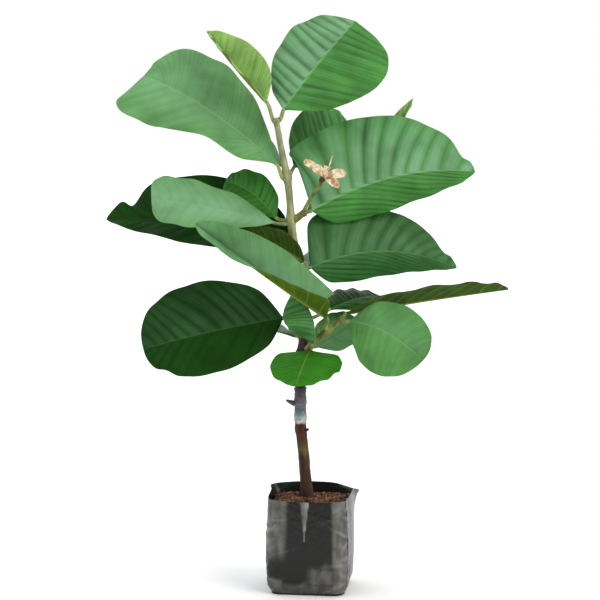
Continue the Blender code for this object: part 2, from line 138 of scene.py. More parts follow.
def add_node(
    tree: bpy.types.NodeTree,
    kind: str,
    settings: dict | None = None,
    links: dict | None = None,
) -> bpy.types.Node:
    """Add one shader node with its settings and its links.

    Args:
        tree: the node tree that takes it.
        kind: the node's type, without the words in front of it.
        settings: values by property name, or by input name or number; "stops" fills a colour ramp.
        links: a socket, or a node whose first output is meant, by input name or number.

    Returns:
        The new node.
    """
    made = tree.nodes.new("ShaderNode" + kind)
    for name, value in (settings or {}).items():
        if name == "stops":
            ramp = made.color_ramp.elements
            while len(ramp) < len(value):
                ramp.new(1.0)
            for stop, (place, colour) in zip(ramp, value):
                stop.position = place
                stop.color = linear(colour)
        elif isinstance(name, str) and hasattr(made, name):
            setattr(made, name, value)
        else:
            made.inputs[name].default_value = value
    for name, source in (links or {}).items():
        tree.links.new(made.inputs[name], getattr(source, "outputs", [source])[0])
    return made


def fractal(points: Array, size: float, octaves: int = 3, seed: float = 0.0) -> Array:
    """Sample smooth noise at many points.

    Args:
        points: an array whose last axis is X, Y, Z in metres.
        size: the size of its largest patches, in metres.
        octaves: how many finer layers it has.
        seed: an offset, so that two uses differ.

    Returns:
        Values round zero, mostly between -1 and 1.
    """
    flat = points.reshape(-1, 3) / size + seed
    values = [noise.fractal(Vector(p), 1.0, 2.0, octaves) for p in flat]
    return np.array(values).reshape(points.shape[:-1])


def unit(vector: Array) -> Array:
    """Scale vectors on the last axis to a length of one."""
    return vector / np.linalg.norm(vector, axis=-1, keepdims=True)


def smooth(value: Array, low: float, high: float) -> Array:
    """Rise smoothly from zero at low to one at high."""
    t = np.clip((value - low) / (high - low), 0, 1)
    return t * t * (3 - 2 * t)


def round_angles(count: int) -> Array:
    """Evenly spaced angles round a full turn."""
    return np.linspace(0, 2 * pi, count, endpoint=False)


def level_circle(angles: Array) -> Array:
    """Unit vectors in the level plane at the given angles."""
    return np.stack([np.cos(angles), np.sin(angles), np.zeros_like(angles)], -1)


def carried_frames(points: Sequence[Array], slopes: Sequence[Array], first: Array) -> list[Array]:
    """Carry a side vector along a path without turning it about the path.

    Args:
        points: the path's points, for their number.
        slopes: the path's direction at each point.
        first: the side vector at the first point.

    Returns:
        One side vector for each point.
    """
    sides = [first]
    for k in range(1, len(points)):
        turn = Vector(slopes[k - 1]).rotation_difference(Vector(slopes[k]))
        sides.append(np.array(turn @ Vector(sides[-1])))
    return sides


class MeshDraft:
    """Points, faces, face slots and texture places of one piece, gathered patch by patch."""

    def __init__(self) -> None:
        """Start with nothing in it."""
        self.points: list[Array] = []
        self.faces: list[tuple[int, ...]] = []
        self.slots: list[int] = []
        self.places: list[tuple[float, float]] = []
        self.count = 0

    def add_tube(
        self,
        rings: Array,
        slots: Callable[[int, int], int] | int = 0,
        places: Array | None = None,
        looped: bool = False,
    ) -> None:
        """Add a closed tube through rings of equal count.

        Args:
            rings: an array of rings by points by three.
            slots: the material slot, or a function that gives it for a ring and a place round it.
            places: texture places for each ring and point, or none for the shares round and along.
            looped: whether the last ring joins the first, in place of a flat cap on each end.
        """
        rows, count = rings.shape[:2]
        if places is None:
            u, v = np.meshgrid(np.linspace(0, 1, count), np.linspace(0, 1, rows))
            places = np.stack([u, v], -1)
        start = self.count
        self.points.append(rings.reshape(-1, 3))
        self.places.extend(map(tuple, places.reshape(-1, 2)))
        self.count += rows * count
        for row in range(rows - 1):
            for k in range(count):
                a = start + row * count + k
                b = start + row * count + (k + 1) % count
                self.faces.append((a, b, b + count, a + count))
                self.slots.append(slots if isinstance(slots, int) else slots(row, k))
        last = self.count - count
        if looped:
            pairs = [(k, (k + 1) % count) for k in range(count)]
            ends = [(last + k, last + n, start + n, start + k) for k, n in pairs]
        else:
            ends = [tuple(range(start + count - 1, start - 1, -1)), tuple(range(last, self.count))]
        for k, end in enumerate(ends):
            self.faces.append(end)
            self.slots.append(slots if isinstance(slots, int) else slots((rows - 2) * min(k, 1), 0))

    def add_faces(self, points: Array, faces: Sequence[Sequence[int]], slot: int = 0) -> None:
        """Add loose points and the faces between them.

        Args:
            points: an array of points by three.
            faces: the numbers of each face's points, counted from nought.
            slot: the material slot of them all.
        """
        self.faces.extend(tuple(k + self.count for k in face) for face in faces)
        self.slots.extend([slot] * len(faces))
        self.points.append(points)
        self.places.extend([(0.5, 0.5)] * len(points))
        self.count += len(points)

    def piece(
        self, name: str, materials: Sequence[bpy.types.Material], sharp: float = 60.0
    ) -> bpy.types.Object:
        """Make the mesh object.

        Args:
            name: the object's name.
            materials: one material for each slot number in use.
            sharp: the angle in degrees from which an edge is shaded sharp.

        Returns:
            The object, linked into the scene.
        """
        mesh = bpy.data.meshes.new(name)
        mesh.from_pydata(np.concatenate(self.points).tolist(), [], self.faces)
        for material in materials:
            mesh.materials.append(material)
        mesh.polygons.foreach_set("material_index", self.slots)
        layer = mesh.uv_layers.new(name="surface_place")
        corners = np.empty(len(mesh.loops), np.int32)
        mesh.loops.foreach_get("vertex_index", corners)
        layer.data.foreach_set("uv", np.array(self.places)[corners].ravel())
        mesh.shade_smooth()
        mesh.set_sharp_from_angle(angle=radians(sharp))
        made = bpy.data.objects.new(name, mesh)
        bpy.context.scene.collection.objects.link(made)
        return made


def settle(piece: bpy.types.Object, node: str) -> bpy.types.Object:
    """Tie a piece to the plant's body in place of the solid that it stands for, which it hides.

    Args:
        piece: the dressed piece.
        node: the name of the solid that it stands for.

    Returns:
        The same piece.
    """
    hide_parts(node)
    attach(piece, BODY)
    return piece


@dataclass(frozen=True)
class LeafSkin:
    """The two faces of a guava leaf as they grow: waxy above, downy and ribbed below, with painted
    grey-blue sheen and painted shade on the upper face.

    blade is the tissue between the veins, groove the painted shade in the sunken veins, rib the
    midrib, wax the painted grey-blue sheen where the waxy face would give back the sky, under the
    lower face, darkened by painted shade, and under_rib its veins. gloss is the roughness of the waxy
    cuticle, shine how strongly it reflects, relief how deep the veins look, veil the share of the
    painted sheen that lies in the grooves as well, and veins the number of lateral veins on each half.
    The cuticle is a few microns of clear, waxy coat, whose IOR is about 1.45, and the tissue under it
    is drawn opaque.
    """

    name: str
    blade: str
    # Painted shade in the sunken veins
    groove_shade: str
    rib: str
    # The painted grey-blue sheen of the upper face
    wax_and_sheen: str = "#749e7c"
    # The lower face, darkened by painted shade
    under: str = "#4c5a1e"
    under_rib: str = "#75803c"
    gloss: float = 0.42
    shine: float = 0.3
    relief: float = 0.26
    sheen_in_grooves: float = 0.3
    veins: int = 11

    # The painted sheen breaks up, and the gloss, the tone and the painted shade of the grooves vary,
    # while the lower face yellows, in patches about as wide as a fingertip
    WAX_AND_SHEEN_PATCH_MM: ClassVar[float] = 26.0
    UNDER_PATCH_MM: ClassVar[float] = 22.0
    # The net of the smallest veins has meshes of about 0.5 mm, and is drawn at 2.2 mm so that it shows
    NET_MM: ClassVar[float] = 2.2
    # The hairs below stand about 0.2 mm apart, and are drawn 1.2 mm apart so that they show
    DOWN_MM: ClassVar[float] = 1.2
    # Small veins for each lateral one, which lie about 2 mm apart
    FINE_VEINS: ClassVar[float] = 4.0
    RELIEF_DEPTH: ClassVar[float] = 0.4 * MM
    # How far a groove and a raised vein reach, as shares of the space between two lateral veins
    GROOVE_REACH: ClassVar[float] = 0.36
    VEIN_REACH: ClassVar[float] = 0.07
    # Where the midrib's colour starts to fade and where it ends, as shares of the half width
    RIB_ABOVE: ClassVar[Pair] = (0.006, 0.03)
    RIB_BELOW: ClassVar[Pair] = (0.02, 0.06)
    # Keeps the numbers of the left half's veins apart from those of the right half's
    LEFT_NUMBERS: ClassVar[float] = 500.0

    def vein_waves(self, tree: bpy.types.NodeTree) -> dict[str, bpy.types.NodeSocket]:
        """Add the nodes that say how near a place is to a lateral vein and to the midrib.

        Args:
            tree: the material's node tree.

        Returns:
            wave, from 0 on a lateral vein to 0.5 half way between two; chance, a number from 0 to 1
            that each vein has for itself; fine, as wave, for the small veins beside them; reach, the
            share of the half width; left, 1 on the left half and 0 on the right; and space, the
            object's own coordinates.
        """
        where = add_node(tree, "TexCoord")
        split = add_node(tree, "SeparateXYZ", links={0: where.outputs["UV"]})
        twice = add_node(
            tree, "Math", {"operation": "MULTIPLY_ADD", 1: 2.0, 2: -1.0}, {0: split.outputs[0]}
        )
        reach = add_node(tree, "Math", {"operation": "ABSOLUTE"}, {0: twice})
        left = add_node(tree, "Math", {"operation": "GREATER_THAN", 1: 0.5}, {0: split.outputs[0]})
        phase = add_node(
            tree, "Math", {"operation": "MULTIPLY", 1: float(self.veins)}, {0: split.outputs[1]}
        )
        wave = add_node(tree, "Math", {"operation": "PINGPONG", 1: 0.5}, {0: phase})
        number = add_node(tree, "Math", {"operation": "ROUND"}, {0: phase})
        own = add_node(
            tree, "Math", {"operation": "MULTIPLY_ADD", 1: self.LEFT_NUMBERS}, {0: left, 2: number}
        )
        chance = add_node(tree, "TexWhiteNoise", {"noise_dimensions": "1D"}, {"W": own})
        finer = add_node(tree, "Math", {"operation": "MULTIPLY", 1: self.FINE_VEINS}, {0: phase})
        fine = add_node(tree, "Math", {"operation": "PINGPONG", 1: 0.5}, {0: finer})
        return {
            "wave": wave.outputs[0],
            "chance": chance.outputs["Value"],
            "fine": fine.outputs[0],
            "reach": reach.outputs[0],
            "left": left.outputs[0],
            "space": where.outputs["Object"],
        }

    def upper(self, painted_sheen: Pair) -> bpy.types.Material:
        """Build the waxy upper face, with its painted sheen and painted shade.

        Args:
            painted_sheen: how much painted grey-blue sheen the left and the right half carry, from 0 to 1.

        Returns:
            The material. The waxy cuticle gives a soft gloss, a grey-blue sheen is painted on beside the
            midrib, the veins lie in grooves with painted shade, and a net of small veins breaks the
            highlight up.
        """
        material = bpy.data.materials.new(f"guava leaf {self.name}, waxed upper face")
        material.use_nodes = True
        tree = material.node_tree
        at = self.vein_waves(tree)
        swell = add_node(
            tree,
            "MapRange",
            {"From Max": self.GROOVE_REACH, "interpolation_type": "SMOOTHSTEP"},
            {0: at["wave"]},
        )
        patches = add_node(
            tree,
            "TexNoise",
            {"Scale": per_metre(self.WAX_AND_SHEEN_PATCH_MM), "Detail": 5.0},
            {"Vector": at["space"]},
        )
        mottle = add_node(tree, "MapRange", {1: 0.35, 2: 0.68, 3: 0.74, 4: 1.16}, {0: patches.outputs[0]})

        # Painted shade in the grooves where the veins sink, uneven along their length and from one vein to
        # the next
        depth = add_node(tree, "MapRange", {1: 0.4, 2: 0.62, 3: 0.25, 4: 1.0}, {0: patches.outputs[1]})
        shaded = add_node(tree, "Math", {"operation": "MULTIPLY_ADD", 1: -1.0, 2: 1.0}, {0: swell})
        clear = add_node(tree, "MapRange", {1: 0.1, 2: 0.9, 3: 0.1, 4: 0.85}, {0: at["chance"]})
        uneven = add_node(tree, "Math", {"operation": "MULTIPLY"}, {0: depth, 1: clear})
        groove_shading = add_node(tree, "Math", {"operation": "MULTIPLY"}, {0: shaded, 1: uneven})
        tissue = add_node(
            tree, "MixRGB", {"Color1": linear(self.blade), "Color2": linear(self.groove_shade)}, {"Fac": groove_shading}
        )
        streak = add_node(tree, "MapRange", {2: 0.5, 3: 0.84, 4: 1.1}, {0: at["fine"]})
        streaked = add_node(
            tree, "MixRGB", {"blend_type": "MULTIPLY", "Fac": 1.0}, {"Color1": tissue, "Color2": streak}
        )
        mottled = add_node(
            tree, "MixRGB", {"blend_type": "MULTIPLY", "Fac": 1.0}, {"Color1": streaked, "Color2": mottle}
        )

        # Painted grey-blue sheen, where the waxy face would give back the sky: thickest beside the midrib
        # and on the swells, less in the grooves, and broken up in patches
        sheen_amount = add_node(tree, "MapRange", {3: painted_sheen[1], 4: painted_sheen[0]}, {0: at["left"]})
        sheen_fading = add_node(tree, "MapRange", {1: 0.25, 2: 1.05, 3: 1.0, 4: 0.35}, {0: at["reach"]})
        spread = add_node(tree, "MapRange", {3: self.sheen_in_grooves, 4: 1.0}, {0: swell})
        waxed_and_sheened = add_node(tree, "Math", {"operation": "MULTIPLY"}, {0: sheen_amount, 1: sheen_fading})
        sheen_cover = add_node(tree, "Math", {"operation": "MULTIPLY"}, {0: waxed_and_sheened, 1: spread})
        broken = add_node(tree, "MapRange", {1: 0.3, 2: 0.6, 3: 0.55, 4: 1.0}, {0: patches.outputs[0]})
        # The share of the painted sheen at each place
        film = add_node(tree, "Math", {"operation": "MULTIPLY"}, {0: sheen_cover, 1: broken})
        with_painted_sheen = add_node(tree, "MixRGB", {"Color2": linear(self.wax_and_sheen)}, {"Fac": film, "Color1": mottled})
        start, end = self.RIB_ABOVE
        middle = add_node(tree, "MapRange", {1: start, 2: end, 3: 0.5, 4: 0.0}, {0: at["reach"]})
        ribbed = add_node(tree, "MixRGB", {"Color2": linear(self.rib)}, {"Fac": middle, "Color1": with_painted_sheen})

        # The net of small veins and the small veins beside the lateral ones break the gloss up
        net = add_node(
            tree,
            "TexVoronoi",
            {"feature": "DISTANCE_TO_EDGE", "Scale": per_metre(self.NET_MM)},
            {"Vector": at["space"]},
        )
        netted = add_node(tree, "MapRange", {2: 0.12}, {0: net})
        relief = add_node(tree, "Math", {"operation": "MULTIPLY_ADD", 1: 0.25}, {0: netted, 2: swell})
        ridged = add_node(tree, "Math", {"operation": "MULTIPLY_ADD", 1: 0.3}, {0: at["fine"], 2: relief})
        bump = add_node(
            tree, "Bump", {"Strength": self.relief, "Distance": self.RELIEF_DEPTH}, {"Height": ridged}
        )
        wax_and_sheen = add_node(
            tree, "MapRange", {3: self.gloss - 0.06, 4: self.gloss + 0.1}, {0: patches.outputs[0]}
        )
        shader = tree.nodes["Principled BSDF"]
        shader.inputs["IOR"].default_value = 1.45
        shader.inputs["Specular IOR Level"].default_value = self.shine
        tree.links.new(shader.inputs["Base Color"], ribbed.outputs[0])
        tree.links.new(shader.inputs["Roughness"], wax_and_sheen.outputs[0])
        tree.links.new(shader.inputs["Normal"], bump.outputs[0])
        return material

    def lower(self) -> bpy.types.Material:
        """Build the matt lower face.

        Returns:
            The material. Fine hairs make it matt, and its raised veins are paler.
        """
        material = bpy.data.materials.new(f"guava leaf {self.name}, downy lower face")
        material.use_nodes = True
        tree = material.node_tree
        at = self.vein_waves(tree)
        patches = add_node(
            tree,
            "TexNoise",
            {"Scale": per_metre(self.UNDER_PATCH_MM), "Detail": 4.0},
            {"Vector": at["space"]},
        )
        mottle = add_node(tree, "MapRange", {1: 0.35, 2: 0.7, 3: 0.7, 4: 1.2}, {0: patches.outputs[0]})
        mottled = add_node(
            tree,
            "MixRGB",
            {"blend_type": "MULTIPLY", "Fac": 1.0, "Color1": linear(self.under)},
            {"Color2": mottle},
        )
        line = add_node(tree, "MapRange", {2: self.VEIN_REACH, 3: 0.55, 4: 0.0}, {0: at["wave"]})
        ribs = {"Color2": linear(self.under_rib)}
        veined = add_node(tree, "MixRGB", ribs, {"Fac": line, "Color1": mottled})
        start, end = self.RIB_BELOW
        middle = add_node(tree, "MapRange", {1: start, 2: end, 3: 1.0, 4: 0.0}, {0: at["reach"]})
        ribbed = add_node(tree, "MixRGB", ribs, {"Fac": middle, "Color1": veined})
        down = add_node(
            tree, "TexNoise", {"Scale": per_metre(self.DOWN_MM), "Detail": 2.0}, {"Vector": at["space"]}
        )
        relief = add_node(
            tree, "Math", {"operation": "MULTIPLY_ADD", 1: 0.4}, {0: down.outputs[0], 2: line}
        )
        bump = add_node(tree, "Bump", {"Strength": 0.6, "Distance": self.RELIEF_DEPTH}, {"Height": relief})
        shader = tree.nodes["Principled BSDF"]
        shader.inputs["Roughness"].default_value = 0.8
        shader.inputs["IOR"].default_value = 1.4
        shader.inputs["Specular IOR Level"].default_value = 0.1
        tree.links.new(shader.inputs["Base Color"], ribbed.outputs[0])
        tree.links.new(shader.inputs["Normal"], bump.outputs[0])
        return material


@dataclass(frozen=True)
class Rind:
    """A living or dead surface with patches and fine relief, as on bark, stems, petals and soil.

    patch and grain are the sizes in mm of its patches and its fine relief, stretch how much longer
    both are up and down than across, and depth the relief in mm. sheen is the soft light on its down
    and shine how strongly it reflects. None of these surfaces is a metal, and all lie near the
    shader's own IOR of 1.5. Their grain is 0.1 to 0.3 mm in life, and is drawn at 0.6 to 1.6 mm so
    that it shows.
    """

    name: str
    _: KW_ONLY
    roughness: float = 0.6
    patch: float = 8.0
    grain: float = 1.0
    stretch: float = 1.0
    depth: float = 0.3
    sheen: float = 0.0
    shine: float = 0.3

    def tint(
        self, tree: bpy.types.NodeTree, space: bpy.types.NodeSocket, patches: bpy.types.NodeSocket
    ) -> bpy.types.Node:
        """Add the nodes of the colour before its grain; each kind of rind has its own.

        Args:
            tree: the material's node tree.
            space: the object's own coordinates.
            patches: noise as large as the patches.

        Returns:
            The node whose first output is the colour.
        """
        raise NotImplementedError

    def material(self) -> bpy.types.Material:
        """Build the material.

        Returns:
            The material.
        """
        material = bpy.data.materials.new(self.name)
        material.use_nodes = True
        tree = material.node_tree
        space = add_node(tree, "TexCoord").outputs["Object"]
        drawn = add_node(
            tree,
            "Mapping",
            {"vector_type": "POINT", "Scale": (1.0, 1.0, 1.0 / self.stretch)},
            {"Vector": space},
        )
        patches, grain = (
            add_node(tree, "TexNoise", {"Scale": per_metre(size), "Detail": detail}, {"Vector": drawn})
            for size, detail in ((self.patch, 5.0), (self.grain, 4.0))
        )
        colour = self.tint(tree, space, patches.outputs[0])
        speck = add_node(tree, "MapRange", {1: 0.3, 2: 0.75, 3: 0.7, 4: 1.2}, {0: grain.outputs[0]})
        grained = add_node(
            tree, "MixRGB", {"blend_type": "MULTIPLY", "Fac": 0.8}, {"Color1": colour, "Color2": speck}
        )
        bump = add_node(
            tree, "Bump", {"Strength": 0.8, "Distance": self.depth * MM}, {"Height": grain.outputs[0]}
        )
        shader = tree.nodes["Principled BSDF"]
        shader.inputs["Roughness"].default_value = self.roughness
        shader.inputs["Specular IOR Level"].default_value = self.shine
        shader.inputs["Sheen Weight"].default_value = self.sheen
        tree.links.new(shader.inputs["Base Color"], grained.outputs[0])
        tree.links.new(shader.inputs["Normal"], bump.outputs[0])
        return material


@dataclass(frozen=True)
class PlainRind(Rind):
    """A rind whose patches go between two tones."""

    light: str
    dark: str

    def tint(
        self, tree: bpy.types.NodeTree, space: bpy.types.NodeSocket, patches: bpy.types.NodeSocket
    ) -> bpy.types.Node:
        """Blend the two tones by the patches.

        Args:
            tree: the material's node tree.
            space: the object's own coordinates, which it doesn't need.
            patches: noise as large as the patches.

        Returns:
            The node whose first output is the colour.
        """
        blend = add_node(tree, "MapRange", {1: 0.38, 2: 0.62}, {0: patches})
        tones = {"Color1": linear(self.dark), "Color2": linear(self.light)}
        return add_node(tree, "MixRGB", tones, {"Fac": blend})


@dataclass(frozen=True)
class BandedRind(Rind):
    """A rind whose colour changes with height.

    Each band is a share of the way from low to high, in metres, and the colour there. contrast says
    how strongly the patches show, and ragged how far they move the bands up, in metres.
    """

    bands: tuple[Band, ...]
    low: float
    high: float
    contrast: float
    ragged: float = 3 * MM

    def tint(
        self, tree: bpy.types.NodeTree, space: bpy.types.NodeSocket, patches: bpy.types.NodeSocket
    ) -> bpy.types.Node:
        """Read the band at each height and shade it by the patches.

        Args:
            tree: the material's node tree.
            space: the object's own coordinates.
            patches: noise as large as the patches.

        Returns:
            The node whose first output is the colour.
        """
        split = add_node(tree, "SeparateXYZ", links={0: space})
        lifted = {"operation": "MULTIPLY_ADD", 1: self.ragged}
        height = add_node(tree, "Math", lifted, {0: patches, 2: split.outputs[2]})
        level = add_node(tree, "MapRange", {1: self.low, 2: self.high}, {0: height})
        ramp = add_node(tree, "ValToRGB", {"stops": self.bands}, {0: level})
        least, most = 1 - self.contrast, 1 + 0.7 * self.contrast
        shade = add_node(tree, "MapRange", {1: 0.34, 2: 0.66, 3: least, 4: most}, {0: patches})
        return add_node(
            tree, "MixRGB", {"blend_type": "MULTIPLY", "Fac": 1.0}, {"Color1": ramp, "Color2": shade}
        )


class Tone(Enum):
    """The finishes of this tree's leaves.

    The tissue is yellow-green on a new leaf and deepens with age. The dark and deep tones add painted
    shade, above and below, for leaves that lie in shade. A silvery leaf carries a thick painted
    grey-blue sheen, which hides its veins, and a bright one has none.
    """

    YOUNG = LeafSkin("young", "#86ae58", "#648f3a", "#8ea85c", under="#75803a", gloss=0.5, shine=0.2)
    # Pale tissue under a thick painted grey-blue sheen, for leaves that face the sky
    SHEEN_PAINTED = LeafSkin(
        "silvery",
        "#4d873a",
        "#427a32",
        "#7a9f66",
        under="#4c6a16",
        gloss=0.5,
        shine=0.22,
        relief=0.12,
        sheen_in_grooves=0.85,
    )
    BRIGHT = LeafSkin("bright", "#2c7408", "#266a08", "#7c9c34", gloss=0.5, shine=0.12)
    MIDDLE = LeafSkin("middle", "#377a26", "#12430e", "#739a58", under="#38521a", gloss=0.42, shine=0.2)
    # Darker tissue with painted shade, for leaves that lie in shade
    DARK = LeafSkin("dark", "#205a17", "#0b3608", "#5f8a4c", under="#2c4412", gloss=0.4, shine=0.16)
    DEEP_SHADED = LeafSkin("deep", "#153e0a", "#0c2c06", "#3f6026", under="#1c2c08", gloss=0.42, shine=0.08)


@dataclass(frozen=True)
class Film:
    """Black polythene film, blown thin and creased by handling.

    Carbon black makes it near black, and its smooth skin gives reflections that break up along the
    creases. stretched is the pale grey of painted reflections, laid over the black where the film would
    give back the lamps and the floor. Polythene's IOR is about 1.5. The net of fine creases is 1 to 2 mm
    across in life, and is drawn crease_mm across so that it shows; the large creases are in the mesh.
    haze_and_reflection_mm is the size of the clouds that break up the painted reflections and vary the
    roughness.
    """

    name: str = "black polythene film, blown and creased"
    black: str = "#131412"
    # The pale grey of the painted reflections
    stretched: str = "#83827d"
    roughness: float = 0.26
    crease_mm: float = 7.0
    crease_depth: float = 0.5 * MM
    haze_and_reflection_mm: float = 9.0

    def material(self) -> bpy.types.Material:
        """Build the material.

        Returns:
            The material. Its V texture places say how strong the painted reflections are, from 0 to 1.
        """
        material = bpy.data.materials.new(self.name)
        material.use_nodes = True
        tree = material.node_tree
        where = add_node(tree, "TexCoord")
        space = where.outputs["Object"]
        split = add_node(tree, "SeparateXYZ", links={0: where.outputs["UV"]})
        haze_and_reflection = add_node(
            tree, "TexNoise", {"Scale": per_metre(self.haze_and_reflection_mm), "Detail": 6.0}, {"Vector": space}
        )
        # Painted reflections: pale grey over the black, as strong as the V places say, broken up in clouds
        broken = add_node(tree, "MapRange", {1: 0.3, 2: 0.7, 3: 0.55, 4: 1.3}, {0: haze_and_reflection.outputs[0]})
        pale = add_node(tree, "Math", {"operation": "MULTIPLY"}, {0: split.outputs[1], 1: broken})
        colour = add_node(
            tree, "MixRGB", {"Color1": linear(self.black), "Color2": linear(self.stretched)}, {"Fac": pale}
        )
        creases = add_node(
            tree,
            "TexVoronoi",
            {"feature": "DISTANCE_TO_EDGE", "Scale": per_metre(self.crease_mm)},
            {"Vector": space},
        )
        fold = add_node(tree, "MapRange", {2: 0.25}, {0: creases})
        bump = add_node(tree, "Bump", {"Strength": 0.35, "Distance": self.crease_depth}, {"Height": fold})
        rough = add_node(
            tree, "MapRange", {3: self.roughness - 0.05, 4: self.roughness + 0.14}, {0: haze_and_reflection.outputs[0]}
        )
        shader = tree.nodes["Principled BSDF"]
        shader.inputs["IOR"].default_value = 1.5
        shader.inputs["Specular IOR Level"].default_value = 0.28
        tree.links.new(shader.inputs["Base Color"], colour.outputs[0])
        tree.links.new(shader.inputs["Roughness"], rough.outputs[0])
        tree.links.new(shader.inputs["Normal"], bump.outputs[0])
        return material


# A dry, browned edge, which draws a thin dull line round each leaf
MARGIN_SKIN = PlainRind(
    "guava leaf margin, thin and browned", "#5c6440", "#3d3a28", roughness=0.55, patch=6, grain=0.8
)

# Smooth green rind, faintly streaked along, with a dull gleam
PETIOLE_SKIN = PlainRind(
    "green leaf stalk, smooth rind",
    "#93a060",
    "#66743a",
    roughness=0.48,
    patch=5,
    grain=0.9,
    stretch=2.0,
    depth=0.15,
)

# Rind that begins to turn to bark: olive patches and a dull gleam
BRANCH_SKIN = PlainRind(
    "ripening stem, olive rind",
    "#7c8438",
    "#4c5420",
    roughness=0.5,
    patch=6,
    grain=0.9,
    stretch=2.0,
    depth=0.2,
)

# Dry and brown, with hardly a gleam
CALYX_SKIN = PlainRind(
    "withered calyx, brown rind", "#6e5228", "#3c2612", roughness=0.7, patch=3, grain=0.7, depth=0.25
)

# Papery, cream with tan stains, and lit softly at its edges by its down
PETAL_SKIN = PlainRind(
    "withered petals, papery",
    "#f1e4c2",
    "#b48c62",
    roughness=0.75,
    patch=6,
    grain=0.8,
    depth=0.5,
    sheen=0.2,
)

# Grey and matt, as old cut wood goes
STUB_SKIN = PlainRind("cut twig, weathered bark", "#5a5552", "#2c2a2a", roughness=0.8, patch=3, grain=0.6)

# Damp and matt, brown with dark hollows
CROWN_SKIN = PlainRind(
    "crumbly soil, damp", "#7a5640", "#3a2519", roughness=0.95, patch=4, grain=1.0, depth=0.8
)

# Drier than the soil under them, so paler, and as matt
CLOD_SKIN = PlainRind(
    "soil crumbs and coir", "#9a6f4e", "#4a3021", roughness=0.95, patch=3, grain=0.8, depth=0.6
)

# Smooth rind with a dull gleam: it starts in a dark, purplish fork and turns olive, then pale
STEM_SKIN = BandedRind(
    "young green stem, smooth rind",
    roughness=0.5,
    patch=5,
    grain=0.9,
    stretch=3.0,
    depth=0.3,
    contrast=0.4,
    bands=(
        (0.0, "#2e1e1e"),
        (0.05, "#3c2820"),
        (0.09, "#6a6638"),
        (0.3, "#858a52"),
        (0.6, "#94986a"),
        (1.0, "#8d9468"),
    ),
    low=206 * MM,
    high=400 * MM,
)

# Matt and split along: from a pinkish foot through red-brown, past one pale green patch, to a dark top
BARK_SKIN = BandedRind(
    "young bark, split in fine lines",
    roughness=0.7,
    patch=3.2,
    grain=1.1,
    stretch=5.0,
    depth=0.8,
    contrast=0.75,
    bands=(
        (0.0, "#44221e"),
        (0.06, "#40211a"),
        (0.2, "#402610"),
        (0.3, "#442c14"),
        (0.345, "#64552c"),
        (0.39, "#503a1c"),
        (0.43, "#441f10"),
        (0.55, "#482016"),
        (0.74, "#3a2c2c"),
        (0.82, "#1e171a"),
        (1.0, "#2a1a14"),
    ),
    low=76 * MM,
    high=206 * MM,
)

# Stretched film with a soft gleam: from a tan foot and a white turn through bluish grey to mauve grey
WRAP_SKIN = BandedRind(
    "grafting film, stretched and weathered",
    roughness=0.42,
    patch=5,
    grain=1.6,
    stretch=0.5,
    depth=0.25,
    shine=0.4,
    contrast=0.5,
    bands=(
        (0.0, "#7a5a46"),
        (0.07, "#9a8070"),
        (0.15, "#b4b4b0"),
        (0.24, "#8a979a"),
        (0.36, "#5c6c70"),
        (0.46, "#48565a"),
        (0.56, "#585a5e"),
        (0.74, "#4e464e"),
        (0.86, "#3a3238"),
        (0.93, "#241e22"),
        (1.0, "#1c1618"),
    ),
    low=142 * MM,
    high=174 * MM,
)


